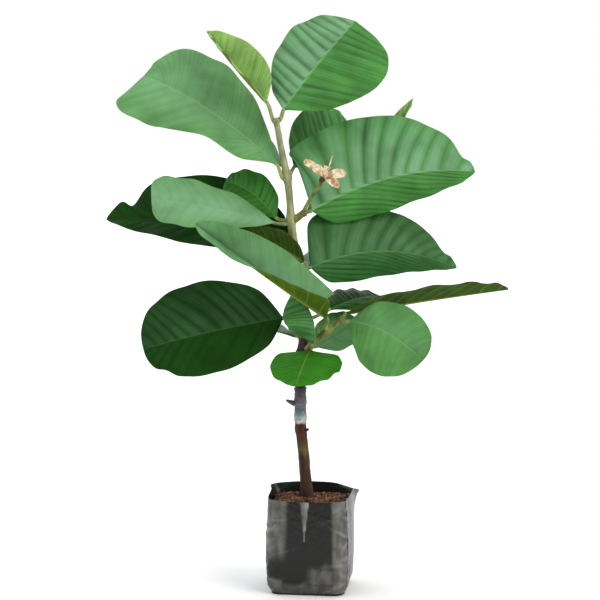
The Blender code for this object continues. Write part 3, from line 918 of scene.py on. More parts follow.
@dataclass
class Limb:
    """A trunk, stem, twig or stalk: the points its axis passes through and its radius at each, in mm.

    step is the distance between its rings and relief the height of its rind's roughness, both in mm.
    tucked lengthens the drawn limb by that many mm at each end, into what it grows from. swellings
    holds the shares of the way along at which leaves leave it.
    """

    name: str
    points: tuple[Triple, ...]
    radii: tuple[float, ...]
    skin: Rind
    slot: Slot
    sides: int = 20
    step: float = 1.5
    relief: float = 0.12
    tucked: Pair = (2.0, 0.0)
    swellings: list[float] = field(default_factory=list)
    length_m: float = field(init=False, default=0.0)

    SWELL_RISE: ClassVar[float] = 0.5 * MM
    SWELL_REACH: ClassVar[float] = 2.4 * MM
    RELIEF_SIZE: ClassVar[float] = 2.5 * MM

    def __post_init__(self) -> None:
        """Measure the axis once."""
        self.length_m = self.length()

    def place(self, share: float) -> tuple[Array, Array, float]:
        """Find the axis point, direction and radius at a share of the way along.

        Args:
            share: from 0 at the foot to 1 at the end; outside that the limb runs straight on.

        Returns:
            The point and the radius in metres, and a unit direction between them.
        """
        count = len(self.points) - 1
        inside = min(max(share, 0.0), 1.0)
        span = min(int(inside * count), count - 1)
        t = inside * count - span
        near = [np.array(self.points[min(max(span + k, 0), count)], float) for k in (-1, 0, 1, 2)]
        if span == 0:
            near[0] = 2 * near[1] - near[2]
        if span == count - 1:
            near[3] = 2 * near[2] - near[1]
        a, b, c, d = near
        square, cube = 2 * a - 5 * b + 4 * c - d, 3 * b - 3 * c + d - a
        point = (2 * b + (c - a) * t + square * t**2 + cube * t**3) / 2
        slope = ((c - a) + 2 * square * t + 3 * cube * t**2) / 2
        radius = self.radii[span] * (1 - t) + self.radii[span + 1] * t
        point = point + slope * count * (share - inside)
        return point * MM, unit(slope), radius * MM

    def length(self) -> float:
        """Length of the axis in metres."""
        stations = np.array([self.place(k / 60)[0] for k in range(61)])
        return float(np.linalg.norm(np.diff(stations, axis=0), axis=1).sum())

    def radius_at(self, share: float) -> float:
        """Find the radius with the swellings at the leaf joints.

        Args:
            share: from 0 at the foot to 1 at the end.

        Returns:
            The radius in metres.
        """
        radius = self.place(share)[2]
        for at in self.swellings:
            radius += self.SWELL_RISE * exp(-(((share - at) * self.length_m / self.SWELL_REACH) ** 2))
        return radius

    def shape(self, share: float, angle: Array) -> Array:
        """Share of the radius by which the cross-section swells at each angle; young wood is square."""
        return 1 + 0.045 * np.cos(4 * angle)

    def rings(self) -> Array:
        """Rings round the axis with the relief of the rind.

        Returns:
            An array of rings by points by three.
        """
        first = -self.tucked[0] * MM / self.length_m
        last = 1 + self.tucked[1] * MM / self.length_m
        count = max(8, round(self.length_m * (last - first) / (self.step * MM)))
        shares = np.linspace(first, last, count)
        stations = [self.place(s) for s in shares]
        slopes = [s[1] for s in stations]
        across = unit(np.cross(slopes[0], (0.0, 1.0, 0.2)))
        sides = carried_frames(slopes, slopes, across)
        angles = round_angles(self.sides)
        made = []
        for share, (centre, slope, _), side in zip(shares, stations, sides):
            up = np.cross(slope, side)
            out = np.cos(angles)[:, None] * side + np.sin(angles)[:, None] * up
            radius = self.radius_at(share) * self.shape(share, angles)
            made.append(centre + out * radius[:, None])
        made = np.array(made)
        outward = unit(made - made.mean(axis=1, keepdims=True))
        drawn = made * np.array((1.0, 1.0, 0.35))
        rough = fractal(drawn, self.RELIEF_SIZE, 3) * self.relief * MM
        return made + outward * rough[..., None]

    def build(self) -> bpy.types.Object:
        """Build the limb and settle it on its solid.

        Returns:
            The limb's piece.
        """
        draft = MeshDraft()
        draft.add_tube(self.rings())
        self.add_details(draft)
        return settle(draft.piece(f"{self.name}_rind", [self.skin.material()]), self.name)

    def add_details(self, draft: MeshDraft) -> None:
        """Add what else is part of the limb; a plain limb has nothing."""


@dataclass
class Trunk(Limb):
    """The bark-covered trunk, with its root flare, a healed bulge and one sleeping bud.

    The places of bulge and bud, and the way that the bud points, are in mm. flare_ribs is how far the
    ribs of the root flare stand out, as a share of the radius.
    """

    bulge_at: Triple = (-11.5, -1.5, 137.0)
    bulge_rise: float = 1.2 * MM
    bulge_reach: float = 4 * MM
    bud_at: Triple = (-3.8, -1.5, 136.5)
    bud_way: Triple = (2.3, -0.5, 0.8)
    bud_radius: float = 1.8 * MM
    flare_ribs: float = 0.07
    flare_height: float = 7 * MM
    crack_depth: float = 0.35 * MM
    crack_size: float = 2.2 * MM

    def shape(self, share: float, angle: Array) -> Array:
        """Round, with low ribs that grow towards the roots."""
        flare = exp(-max(share, 0.0) * self.length_m / self.flare_height)
        return 1 + 0.02 * np.cos(3 * angle + 1.0) + self.flare_ribs * flare * np.cos(3 * angle + 0.4)

    def rings(self) -> Array:
        """Rings of the limb with the healed bulge on the left and the long cracks of the bark.

        Returns:
            An array of rings by points by three.
        """
        made = super().rings()
        outward = unit(made - made.mean(axis=1, keepdims=True))
        away = np.linalg.norm(made - np.array(self.bulge_at) * MM, axis=-1)
        made = made + outward * (self.bulge_rise * np.exp(-((away / self.bulge_reach) ** 2)))[..., None]
        split = made * np.array((1.0, 1.0, 0.12))
        cracks = np.abs(fractal(split, self.crack_size, 2, 7.0))
        return made - outward * (self.crack_depth * np.exp(-((cracks / 0.12) ** 2)))[..., None]

    def add_details(self, draft: MeshDraft) -> None:
        """Add the sleeping bud, a small blunt cone on the right.

        Args:
            draft: the trunk's draft, which takes it.
        """
        foot = np.array(self.bud_at) * MM
        rings = []
        for t in np.linspace(0, 1, 7):
            centre = foot + np.array(self.bud_way) * MM * t
            radius = self.bud_radius * (1 - t) ** 0.45 + 0.1 * MM
            ring = [centre + radius * np.array((0.3 * sin(a), cos(a), sin(a))) for a in round_angles(12)]
            rings.append(ring)
        draft.add_tube(np.array(rings))


@dataclass
class GraftWrap:
    """Turns of stretched film bound round the graft, each edge a low step.

    lip is the height of that step, waist how far the binding bulges between its tight turns, and
    crumple how far its folds stand out.
    """

    trunk: Limb
    foot: float = 142 * MM
    top: float = 173 * MM
    turns: float = 7.0
    wall: float = 0.8 * MM
    lip: float = 0.35 * MM
    waist: float = 0.5 * MM
    crumple: float = 0.22 * MM
    crumple_size: float = 3 * MM
    clear: float = 0.05 * MM
    sides: int = 48
    rows: int = 90

    def build(self) -> bpy.types.Object:
        """Build the wrap over the trunk between its two heights and settle it on its solid.

        Returns:
            The wrap's piece.
        """
        angles = round_angles(self.sides)
        out = level_circle(angles)
        outer, inner = [], []
        for height in np.linspace(self.foot, self.top, self.rows):
            centre, _, radius = self.trunk.place(self.share_at(height))
            rise = (height - self.foot) / (self.top - self.foot)
            turn = (rise * self.turns + angles / (2 * pi)) % 1.0
            lip = self.lip * (1 - turn) ** 1.5
            waist = self.waist * sin(rise * 2.4 * pi) ** 2
            outer.append(centre + out * (radius + self.wall * 0.45 + lip + waist)[:, None])
            inner.append(centre + out * (radius + self.clear))
        outer = np.array(outer)
        crumple = fractal(outer * np.array((1, 1, 1.6)), self.crumple_size, 3, 3.0)
        middle = outer.mean(axis=1, keepdims=True)
        outer = outer + unit(outer - middle) * (self.crumple * crumple)[..., None]
        draft = MeshDraft()
        draft.add_tube(np.concatenate([outer, np.array(inner)[::-1]]), looped=True)
        return settle(draft.piece("graft_wrap_film", [WRAP_SKIN.material()]), "graft_wrap")

    def share_at(self, height: float) -> float:
        """Find where the trunk's axis reaches a height, by halving.

        Args:
            height: the height in metres.

        Returns:
            The share of the way along the trunk.
        """
        low, high = 0.0, 1.0
        for _ in range(30):
            middle = (low + high) / 2
            if self.trunk.place(middle)[0][2] < height:
                low = middle
            else:
                high = middle
        return (low + high) / 2


class Dent(NamedTuple):
    """A bay in a leaf's margin: its half, its place along, its share of the width and its spread."""

    half: Half
    at: float
    depth: float
    spread: float


@dataclass
class Blade:
    """A blade's middle layer, with a row of points along each lateral vein.

    reach is each point's distance from the midrib, vein how near it is to a lateral vein and places
    its texture place. along is each row's share of the length, even each column's even spacing, and
    the last four are each row's midrib point, sideways and upward vectors and slope.
    """

    points: Array
    normals: Array
    reach: Array
    vein: Array
    places: Array
    along: Array
    even: Array
    centres: Array
    sides: Array
    ups: Array
    slopes: Array


@dataclass
class Leaf:
    """One leaf: where its blade starts and ends, and how the blade is held, shaped and finished.

    base, tip and bow are in mm, and bow moves the middle of the midrib off the straight line. limb
    and share say where the petiole leaves its limb. roll, twist, fold and curl are in degrees: roll
    turns the blade about its midrib, twist turns its tip further, fold lifts both halves, curl bends
    them back down. lean makes the left half wider, foot and nose shape the two ends, heel and
    far_heel draw the left and the right half back past the base, and notch carries the margins past
    the tip. bloom is how much painted grey-blue sheen shows, quilt the depth in mm of the hollows
    between the veins and sweep how far the veins lag towards the margin, each on the left and the
    right half. ripple is the height in mm of the waves along the margin, and stalk the petiole's
    radius in mm.
    """

    name: str
    limb: str
    share: float
    base: Triple
    tip: Triple
    width: float
    roll: float = 0
    bow: Triple = (0, 0, 4)
    twist: float = 0
    fold: float = 10
    curl: float = 15
    lean: float = 0
    foot: float = 0.6
    nose: float = 0.5
    heel: float = 0
    far_heel: float = 0
    dents: tuple[Dent, ...] = ()
    notch: float = 0
    tone: Tone = Tone.MIDDLE
    painted_sheen: Pair = (0.3, 0.3)
    quilt: Pair = (0.6, 0.6)
    sweep: Pair = (0.0, 0.0)
    ripple: float = 1.0
    stalk: float = 1.6

    ROWS: ClassVar[int] = 97
    COLUMNS: ClassVar[int] = 33
    STALK_STEP: ClassVar[float] = 1.5 * MM
    STALK_FLARE: ClassVar[float] = 0.45
    FLARE_REACH: ClassVar[float] = 2.5 * MM
    # How far along the blade its foot still has the petiole's shape
    FOOT_BLEND: ClassVar[float] = 7 * MM
    # The angle from which an edge is shaded sharp
    SHARP: ClassVar[float] = 75.0

    def seed(self) -> int:
        """Make a number that is this leaf's own and the same on every run."""
        return sum(ord(letter) * (k + 1) for k, letter in enumerate(self.name))

    def half_outline(self, x: Array) -> Array:
        """Work out the outline before its heels, notch and dents.

        Args:
            x: shares of the length.

        Returns:
            The half width at each, as a share of the greatest half width.
        """
        x = np.clip(x, 0, 1)
        widest = self.foot / (self.foot + self.nose)
        return (x / widest) ** self.foot * ((1 - x) / (1 - widest)) ** self.nose

    def hollows(self, along: Array, reach: Array, hand: Array) -> tuple[Array, Array, Array]:
        """Work out the blade's relief between its veins.

        Args:
            along: shares of the length, one to a row.
            reach: shares of the half width, one to a column.
            hand: -1, 0 or 1 for each column's side.

        Returns:
            The height of the blade over its smooth surface in metres, how near each point is to a
            lateral vein, from 0 half way between two to 1 on one, and its place along the veins,
            which starts from another whole number for each leaf so that each has veins of its own.
        """
        draw = np.random.default_rng(self.seed())
        veins = self.tone.value.veins
        turns = draw.uniform(0, 2 * pi, 3)
        drift = 0.3 * np.sin(2 * pi * 1.3 * along + turns[0])
        sway = 0.3 * np.sin(2 * pi * 2.1 * along[:, None] + turns[1] + hand[None]) * reach[None]
        swept = np.where(hand > 0, self.sweep[0], self.sweep[1]) * reach * veins
        phase = along[:, None] * veins + np.where(hand > 0, 0.5, 0.0)[None] + drift[:, None] + sway
        phase = phase - swept[None]
        cell = np.floor(phase).astype(int)
        part = phase - cell
        crest = 1 - np.abs(2 * part - 1) ** 2.4
        uneven = draw.uniform(0.2, 1.6, (2, 2 * veins))
        which = (hand > 0).astype(int)[None] * np.ones_like(cell)
        strength = uneven[which, np.clip(cell + veins // 2, 0, 2 * veins - 1)]
        depth = np.where(hand > 0, self.quilt[0], self.quilt[1])[None] * MM
        inside = smooth(reach, 0.02, 0.3) * (1 - 0.7 * reach**4)
        ends = smooth(along, 0.0, 0.12) * (1 - smooth(along, 0.86, 1.0))
        height = depth * strength * (crest - 0.4) * inside[None] * ends[:, None]
        waves = draw.uniform(2.5, 4.5, 2)[(hand > 0).astype(int)]
        start = draw.uniform(0, 2 * pi, 2)[(hand > 0).astype(int)]
        swing = np.sin(2 * pi * along[:, None] * waves[None] + start[None])
        height = height + self.ripple * MM * swing * (reach**2.5)[None] * ends[:, None]
        nearness = (1 - crest) ** 3 * inside[None] * ends[:, None]
        return height, nearness, phase / veins + 1 + self.seed() % 9

    def blade(self) -> Blade:
        """Work out the blade's surface with its relief, row by row along the lateral veins.

        Returns:
            The blade.
        """
        base, tip = np.array(self.base, float) * MM, np.array(self.tip, float) * MM
        middle = (base + tip) / 2 + 2 * np.array(self.bow, float) * MM
        along = (1 - np.cos(np.linspace(0, pi, self.ROWS))) / 2
        even = np.linspace(-1, 1, self.COLUMNS)
        across = np.sign(even) * np.abs(even) ** 1.25
        reach, hand = np.abs(across), np.sign(across)
        margin = np.minimum(along + VEIN_RAKE * along**0.7 * (1 - along), 1)
        width = self.width * MM / 2 * self.half_outline(margin)
        x = along[:, None] + (margin - along)[:, None] * reach[None] ** VEIN_CURVE
        lobe = reach[None] ** LOBE_CURVE
        x = x + self.notch * lobe * np.exp(-(((along[:, None] - NOTCH_AT) / NOTCH_SPREAD) ** 2))
        near_foot = (along[:, None] / HEEL_AT) ** 2
        heel = np.where(across > 0, self.heel, self.far_heel)[None]
        x = x - heel * lobe * near_foot * np.exp(1 - near_foot)
        u = x[..., None]
        centre = base * (1 - u) ** 2 + 2 * middle * u * (1 - u) + tip * u**2
        slope = unit(2 * (middle - base) * (1 - u) + 2 * (tip - middle) * u)
        level = unit(np.cross(np.broadcast_to((0.0, 0.0, 1.0), slope.shape), slope))
        above = np.cross(slope, level)
        roll = np.radians(self.roll + self.twist * x)[..., None]
        side = level * np.cos(roll) + above * np.sin(roll)
        up = above * np.cos(roll) - level * np.sin(roll)
        fold, curl = radians(self.fold), radians(self.curl) or 0.001
        bend = fold - curl * reach[None]
        out = (sin(fold) - np.sin(bend)) / curl
        rise = (np.cos(bend) - cos(fold)) / curl
        half = width[:, None] * (1 + self.lean * hand[None])
        for dent in self.dents:
            bay = dent.depth * np.exp(-(((margin - dent.at) / dent.spread) ** 2))
            half = half * np.where(hand[None] == dent.half, 1 - bay[:, None], 1)
        points = centre + side * (hand[None] * out * half)[..., None] + up * (rise * half)[..., None]
        upright = np.where(hand[None] == 0, 1.0, np.cos(bend))
        normals = unit(up * upright[..., None] - side * (hand[None] * np.sin(bend))[..., None])
        height, vein, vein_place = self.hollows(along, reach, hand)
        broad = fractal(points, BLADE_SWELL_SIZE, 2, self.seed() % 17) * BLADE_SWELL
        points = points + normals * (height + broad * smooth(reach, 0.0, 0.5)[None])[..., None]
        places = np.stack(np.broadcast_arrays((across[None] + 1) / 2, vein_place), -1)
        mid = self.COLUMNS // 2
        frames = (centre[:, mid], side[:, mid], up[:, mid], slope[:, mid])
        return Blade(points, normals, reach[None] * half, vein, places, along, even, *frames)

    def stalk_path(self, limb: Limb, slope: Array) -> tuple[list[Array], list[Array]]:
        """Find points and directions from inside the limb to the foot of the blade.

        Args:
            limb: the limb that carries the leaf.
            slope: the midrib's direction at the foot of the blade.

        Returns:
            The points in metres and the unit directions.
        """
        axis, run, radius = limb.place(self.share)
        base = np.array(self.base, float) * MM
        away = base - axis
        if self.share < 1.0:
            away = away - run * float(away @ run)
            start = axis + unit(away) * radius * 0.55
        else:
            away = run
            start = axis - run * 1.2 * MM
        away = unit(away)
        reach = float(np.linalg.norm(base - start))
        pull = 0.35 * reach
        a, b, c, d = start, start + away * pull, base - slope * pull, base
        points, slopes = [], []
        for t in np.linspace(0, 1, max(8, round(reach / self.STALK_STEP))):
            points.append(a * (1 - t) ** 3 + 3 * b * t * (1 - t) ** 2 + 3 * c * t**2 * (1 - t) + d * t**3)
            slopes.append(unit((b - a) * (1 - t) ** 2 + 2 * (c - b) * t * (1 - t) + (d - c) * t**2))
        return points, slopes

    def stalk_ring(self, centre: Array, side: Array, up: Array, radius: float, even: Array) -> Array:
        """Work out one ring of the petiole, with its points in the order of a ring of the blade.

        Args:
            centre: the ring's middle.
            side: the unit vector towards its left.
            up: the unit vector towards its top.
            radius: its radius in metres.
            even: the even spacing of the blade's columns, from -1 to 1.

        Returns:
            An array of points by three.
        """
        turn = even * pi / 2 * 0.97
        sides = np.sin(turn)[:, None] * side
        low = centre + radius * (sides - np.cos(turn)[:, None] * up)
        top = centre + radius * (sides + 0.75 * np.cos(turn)[:, None] * up)
        return np.concatenate([low, top[::-1]])

    def build(self, limbs: dict[str, Limb]) -> bpy.types.Object:
        """Build petiole and blade as one closed skin and settle it on its solid.

        Args:
            limbs: the limbs by name.

        Returns:
            The leaf's piece.
        """
        blade = self.blade()
        radius = self.stalk * MM
        path, runs = self.stalk_path(limbs[self.limb], blade.slopes[0])
        carried = carried_frames(path[::-1], runs[::-1], blade.sides[0])[::-1]
        rings, places = [], []
        for k, (centre, run, side) in enumerate(zip(path[:-1], runs, carried)):
            flare = 1 + self.STALK_FLARE * exp(-k * self.STALK_STEP / self.FLARE_REACH)
            rings.append(self.stalk_ring(centre, side, np.cross(run, side), radius * flare, blade.even))
            places.append(np.full((2 * self.COLUMNS, 2), (0.5, 0.0)))
        low, top = self.faces(blade, radius)
        gone = np.linalg.norm(blade.centres - blade.centres[0], axis=-1)
        for row in range(self.ROWS):
            ring = np.concatenate([low[row], top[row][::-1]])
            hold = max(0.0, 1 - gone[row] / self.FOOT_BLEND) ** 2
            if hold > 0:
                frame_of_row = (blade.centres[row], blade.sides[row], blade.ups[row])
                ring = ring * (1 - hold) + self.stalk_ring(*frame_of_row, radius, blade.even) * hold
            rings.append(ring)
            places.append(np.concatenate([blade.places[row], blade.places[row][::-1]]))
        stalk_rows = len(path) - 1

        def face_of(row: int, k: int) -> LeafFace:
            """Say which part of the skin a face is.

            Args:
                row: its ring.
                k: its place round the ring.

            Returns:
                The part.
            """
            if row < stalk_rows:
                return LeafFace.PETIOLE
            if k in (self.COLUMNS - 1, 2 * self.COLUMNS - 1):
                return LeafFace.MARGIN
            return LeafFace.LOWER if k < self.COLUMNS - 1 else LeafFace.UPPER

        draft = MeshDraft()
        draft.add_tube(np.array(rings), face_of, np.array(places))
        skins = LeafSkins.of(self.tone, self.painted_sheen)
        return settle(draft.piece(f"{self.name}_blade", skins, self.SHARP), self.name)

    def faces(self, blade: Blade, radius: float) -> tuple[Array, Array]:
        """Work out the two faces of the blade, with its midrib and its veins.

        Args:
            blade: the blade's middle layer.
            radius: the petiole's radius in metres.

        Returns:
            The points of the lower and of the upper face, rows by columns by three.
        """
        rib = 1.25 * radius * (1 - blade.along) ** 0.8
        ridge = np.exp(-((blade.reach / (0.75 * radius)) ** 2))
        thin = BLADE_HALF * (1 - 0.4 * np.abs(blade.even) ** 3)[None]
        below = thin + rib[:, None] * ridge + VEIN_RISE * blade.vein
        above = thin - MIDRIB_SINK * ridge
        return (
            blade.points - blade.normals * below[..., None],
            blade.points + blade.normals * above[..., None],
        )


class LeafSkins:
    """The materials of each tone and painted sheen, made once and shared by their leaves."""

    uppers: ClassVar[dict[tuple[Tone, Pair], bpy.types.Material]] = {}
    lowers: ClassVar[dict[Tone, bpy.types.Material]] = {}
    shared: ClassVar[list[bpy.types.Material]] = []

    @classmethod
    def of(cls, tone: Tone, painted_sheen: Pair) -> list[bpy.types.Material]:
        """Find or make the materials of one leaf.

        Args:
            tone: the leaf's tone.
            painted_sheen: how much painted grey-blue sheen its left and its right half carry.

        Returns:
            One material for each LeafFace, in order.
        """
        if not cls.shared:
            cls.shared.extend([MARGIN_SKIN.material(), PETIOLE_SKIN.material()])
        if tone not in cls.lowers:
            cls.lowers[tone] = tone.value.lower()
        if (tone, painted_sheen) not in cls.uppers:
            cls.uppers[tone, painted_sheen] = tone.value.upper(painted_sheen)
        return [cls.lowers[tone], cls.uppers[tone, painted_sheen], *cls.shared]


class Petal(NamedTuple):
    """A petal: its reach from the heart and its width in mm, and the seed of its folds."""

    reach: Triple
    width: float
    seed: float


@dataclass
class DriedFlower:
    """The withered flower: a ribbed brown calyx, papery petals and the long style. Lengths are in mm."""

    at: Triple = (8, -14, 347.3)
    calyx: Triple = (4.0, -1.8, 7.8)
    calyx_radius: float = 3.1
    heart: Triple = (3, -2, 6)
    petals: tuple[Petal, ...] = (
        Petal((-17, 0, 13), 6.5, 1.0),
        Petal((-10, -4, 9), 7.5, 6.0),
        Petal((18, -4, 2), 8.0, 2.0),
        Petal((12, -7, -9), 7.5, 3.0),
        Petal((3, 10, 7), 6.0, 4.0),
        Petal((5, -6, 3), 6.0, 5.0),
    )
    petal_half: float = 0.22
    petal_arch: float = 2.2
    crumple: float = 1.7
    crumple_size: float = 3.5
    style: Triple = (6.5, -4, 17)
    style_radius: float = 0.75

    def calyx_rings(self) -> Array:
        """Work out the urn of the calyx with four blunt ribs.

        Returns:
            An array of rings by points by three, in metres.
        """
        angles = round_angles(24)
        out = level_circle(angles)
        rings = []
        for t in np.linspace(0, 1, 16):
            bulge = sqrt(max(0.12, 1 - (2 * t - 1.05) ** 2))
            radius = self.calyx_radius * bulge * (1 + 0.1 * np.cos(4 * angles) * t)
            rings.append(np.array(self.at) + np.array(self.calyx) * t + out * radius[:, None])
        return np.array(rings) * MM

    def petal_rings(self, petal: Petal) -> Array:
        """Work out one withered petal: a thin crumpled sheet that widens and ends blunt.

        Args:
            petal: the petal.

        Returns:
            An array of rings by points by three, in metres.
        """
        run = np.array(petal.reach, float)
        across = unit(np.cross(unit(run), (0.0, -1.0, 0.3)))
        above = np.cross(across, unit(run))
        start = np.array(self.at) + np.array(self.heart)
        even = np.linspace(-1, 1, 11)
        rings = []
        for t in np.linspace(0, 1, 26):
            spread = 0.3 + 0.7 * sin(pi * min(1.0, t * 0.72 + 0.02)) ** 1.2
            spread *= sqrt(max(0.05, 1 - max(0.0, (t - 0.82) / 0.19) ** 2))
            centre = start + run * t + above * self.petal_arch * sin(pi * t)
            sheet = centre + np.outer(even * petal.width / 2 * spread, across)
            sheet = sheet + np.outer(0.2 * petal.width * spread * even**2, above)
            crumple = fractal(sheet, self.crumple_size, 3, petal.seed) * self.crumple
            sheet = sheet + crumple[:, None] * above
            thick = above * self.petal_half
            rings.append(np.concatenate([sheet - thick, (sheet + thick)[::-1]]))
        return np.array(rings) * MM

    def style_rings(self) -> Array:
        """Work out the style: a bent thread with a knob at its tip.

        Returns:
            An array of rings by points by three, in metres.
        """
        start = np.array(self.at) + np.array(self.heart)
        ring = level_circle(round_angles(10))
        rings = []
        for t in np.linspace(0, 1, 20):
            radius = self.style_radius - 0.3 * t + 0.45 * exp(-(((t - 0.97) / 0.05) ** 2))
            bend = np.array((0.8 * sin(pi * t), 0, 0))
            rings.append(start + np.array(self.style, float) * t + bend + ring * radius)
        return np.array(rings) * MM

    def build(self) -> bpy.types.Object:
        """Build the flower and settle it on its solid.

        Returns:
            The flower's piece.
        """
        draft = MeshDraft()
        draft.add_tube(self.calyx_rings(), 0)
        for petal in self.petals:
            draft.add_tube(self.petal_rings(petal), 1)
        draft.add_tube(self.style_rings(), 1)
        skins = [CALYX_SKIN.material(), PETAL_SKIN.material()]
        return settle(draft.piece("dried_flower_petals", skins), "dried_flower")


class Ear(NamedTuple):
    """A pulled-out corner of the rim: its bearing, its reach, its spread in degrees and its droop."""

    bearing: float
    reach: float
    spread: float
    droop: float


class ReflectionPatch(NamedTuple):
    """A patch of painted reflection, where the film is drawn pale grey as if it gave back the lamps.

    around is its place round the bag from the middle of the front and half_width its half width
    there, as shares of the whole; height and half_height are in mm.
    """

    around: float
    half_width: float
    height: float
    half_height: float
    strength: float


@dataclass
class GrowBag:
    """The black film bag round its soil: a soft square with two pulled corners, a pleat and creases.

    film is how thick the film is drawn, bulge how far the soil pushes the walls out, rim_lift how
    much higher the rim is at the back than at the front, ear_foot the height at which the ears begin,
    and foot_tuck and foot_height the round of the foot. sag, crumple and bow are the heights of the
    soft swells, the small folds and the middle of each wall.
    """

    lay_flat: float = BAG_LAY_FLAT
    corner: float = BAG_CORNER
    rim: float = BAG_RIM
    yaw: float = BAG_YAW
    film: float = 0.35 * MM
    bulge: float = 1.5 * MM
    rim_lift: float = 2.5 * MM
    ears: tuple[Ear, ...] = (Ear(45, 9 * MM, 12, 0.7), Ear(138, 8 * MM, 18, 0.3))
    ear_foot: float = 56 * MM
    foot_tuck: float = 4 * MM
    foot_height: float = 9 * MM
    sag: float = 0.8 * MM
    sag_size: float = 30 * MM
    crumple: float = 0.7 * MM
    crumple_size: float = 7 * MM
    bow: float = 1.3 * MM
    crease_count: int = 150
    pleat_drop: float = 34 * MM
    pleat_half: float = 3.6 * MM
    pleat_rise: float = 0.7 * MM
    around: int = 280
    levels: int = 120
    front_at: float = 0.858
    # Patches of painted reflection, where the film is drawn pale grey as if it gave back the lamps and the
    # floor
    patches: tuple[ReflectionPatch, ...] = (
        ReflectionPatch(-0.115, 0.045, 62, 30, 0.62),
        ReflectionPatch(-0.115, 0.03, 6, 8, 0.4),
        ReflectionPatch(0.1, 0.03, 45, 60, 0.62),
        ReflectionPatch(0.05, 0.06, 17, 8, 0.4),
        ReflectionPatch(0.0, 0.12, 4, 7, 0.3),
        ReflectionPatch(0.155, 0.02, 50, 30, 0.35),
        ReflectionPatch(0.30, 0.05, 45, 30, 0.5),
        ReflectionPatch(0.42, 0.03, 40, 50, 0.5),
        ReflectionPatch(0.55, 0.05, 55, 30, 0.5),
        ReflectionPatch(0.70, 0.03, 40, 40, 0.5),
    )

    def half_side(self) -> float:
        """Half the side of the square that the lay-flat width opens into."""
        return (2 * self.lay_flat + (8 - 2 * pi) * self.corner) / 8

    def square(self, half: float) -> Array:
        """Points of a rounded square, spaced evenly round it and turned by the yaw.

        Args:
            half: half of its side.

        Returns:
            An array of points by two.
        """
        straight = 2 * (half - self.corner)
        bend = pi / 2 * self.corner
        whole = 4 * (straight + bend)
        points = []
        for k in range(self.around):
            run = whole * k / self.around
            quarter, rest = divmod(run, straight + bend)
            if rest < straight:
                x, y = half, rest - straight / 2
            else:
                angle = (rest - straight) / self.corner
                x = half - self.corner + self.corner * cos(angle)
                y = half - self.corner + self.corner * sin(angle)
            turn = quarter * pi / 2 + radians(self.yaw)
            points.append((x * cos(turn) - y * sin(turn), x * sin(turn) + y * cos(turn)))
        return np.array(points)

    def ring(self, height: float, inset: float = 0.0) -> Array:
        """Work out one smooth ring of the wall.

        Args:
            height: its height in metres.
            inset: how far it is moved inwards, in metres.

        Returns:
            An array of points by three.
        """
        share = height / self.rim
        half = self.half_side() - inset + self.bulge * sin(pi * min(1.0, share))
        half -= self.foot_tuck * max(0.0, 1 - height / self.foot_height) ** 2
        flat = self.square(half)
        bearing = np.arctan2(flat[:, 1], flat[:, 0])
        reach = np.hypot(flat[:, 0], flat[:, 1])
        ear_share = max(0.0, (height - self.ear_foot) / (self.rim - self.ear_foot)) ** 2
        pulled, droop = np.zeros_like(reach), np.zeros_like(reach)
        for ear in self.ears:
            off = (bearing - radians(ear.bearing + self.yaw)) / radians(ear.spread)
            pull = ear.reach * ear_share * np.exp(-(off**2))
            pulled = pulled + pull
            droop = droop + ear.droop * pull
        lift = (self.rim_lift * np.sin(bearing) - droop) * share**6
        scale = (reach + pulled) / reach
        return np.column_stack([flat * scale[:, None], height + lift])

    def creases(self, wall: Array) -> Array:
        """Work out the creases: most beside the corners and the others mostly near the foot.

        Args:
            wall: the smooth wall, rings by points by three.

        Returns:
            How far the film stands in or out at each point, in metres.
        """
        draw = np.random.default_rng(41)
        side = 2 * (self.half_side() - self.corner) + pi / 2 * self.corner
        whole = 4 * side
        height = wall[..., 2]
        along = np.broadcast_to((np.arange(self.around) / self.around * whole)[None], height.shape)
        push = np.zeros_like(height)
        for _ in range(self.crease_count):
            corner = draw.integers(0, 4) * side + side - pi / 4 * self.corner
            at_corner = draw.random() < 0.6
            s = corner + draw.normal(0, 5 * MM) if at_corner else draw.uniform(0, whole)
            z = draw.uniform(0, 1) ** (1.0 if at_corner else 1.8) * self.rim * 0.95
            angle = draw.normal(0.2, 0.7)
            length = draw.uniform(4, 13) * MM
            width = draw.uniform(0.7, 1.8) * MM
            depth = draw.uniform(0.25, 0.75) * MM * draw.choice((-1, 1)) * (1.0 if at_corner else 0.5)
            ds = (along - s + whole / 2) % whole - whole / 2
            dz = height - z
            far = ds * cos(angle) + dz * sin(angle)
            off = -ds * sin(angle) + dz * cos(angle)
            push += depth * np.exp(-((far / length) ** 2)) * np.maximum(0, 1 - np.abs(off) / (2 * width))
        return push

    def pleat(self, wall: Array) -> Array:
        """Work out the flattened fold that narrows down the front from the rim.

        Args:
            wall: the smooth wall, rings by points by three.

        Returns:
            How far it stands out at each point, in metres.
        """
        yaw = radians(self.yaw)
        left = wall[..., 0] * cos(yaw) + wall[..., 1] * sin(yaw)
        front = smooth(-(-wall[..., 0] * sin(yaw) + wall[..., 1] * cos(yaw)), 10 * MM, 20 * MM)
        drop = np.clip((self.rim - wall[..., 2]) / self.pleat_drop, 0, 1.2)
        half = self.pleat_half * (1 - drop) + 0.2 * MM
        inside = np.clip((left + 1.5 * MM) / np.maximum(half, 1e-6), -1.3, 1.3)
        edge = smooth(1.15 - np.abs(inside), 0.0, 0.3)
        return front * edge * self.pleat_rise * (0.6 + 0.4 * inside) * (drop < 1.05)

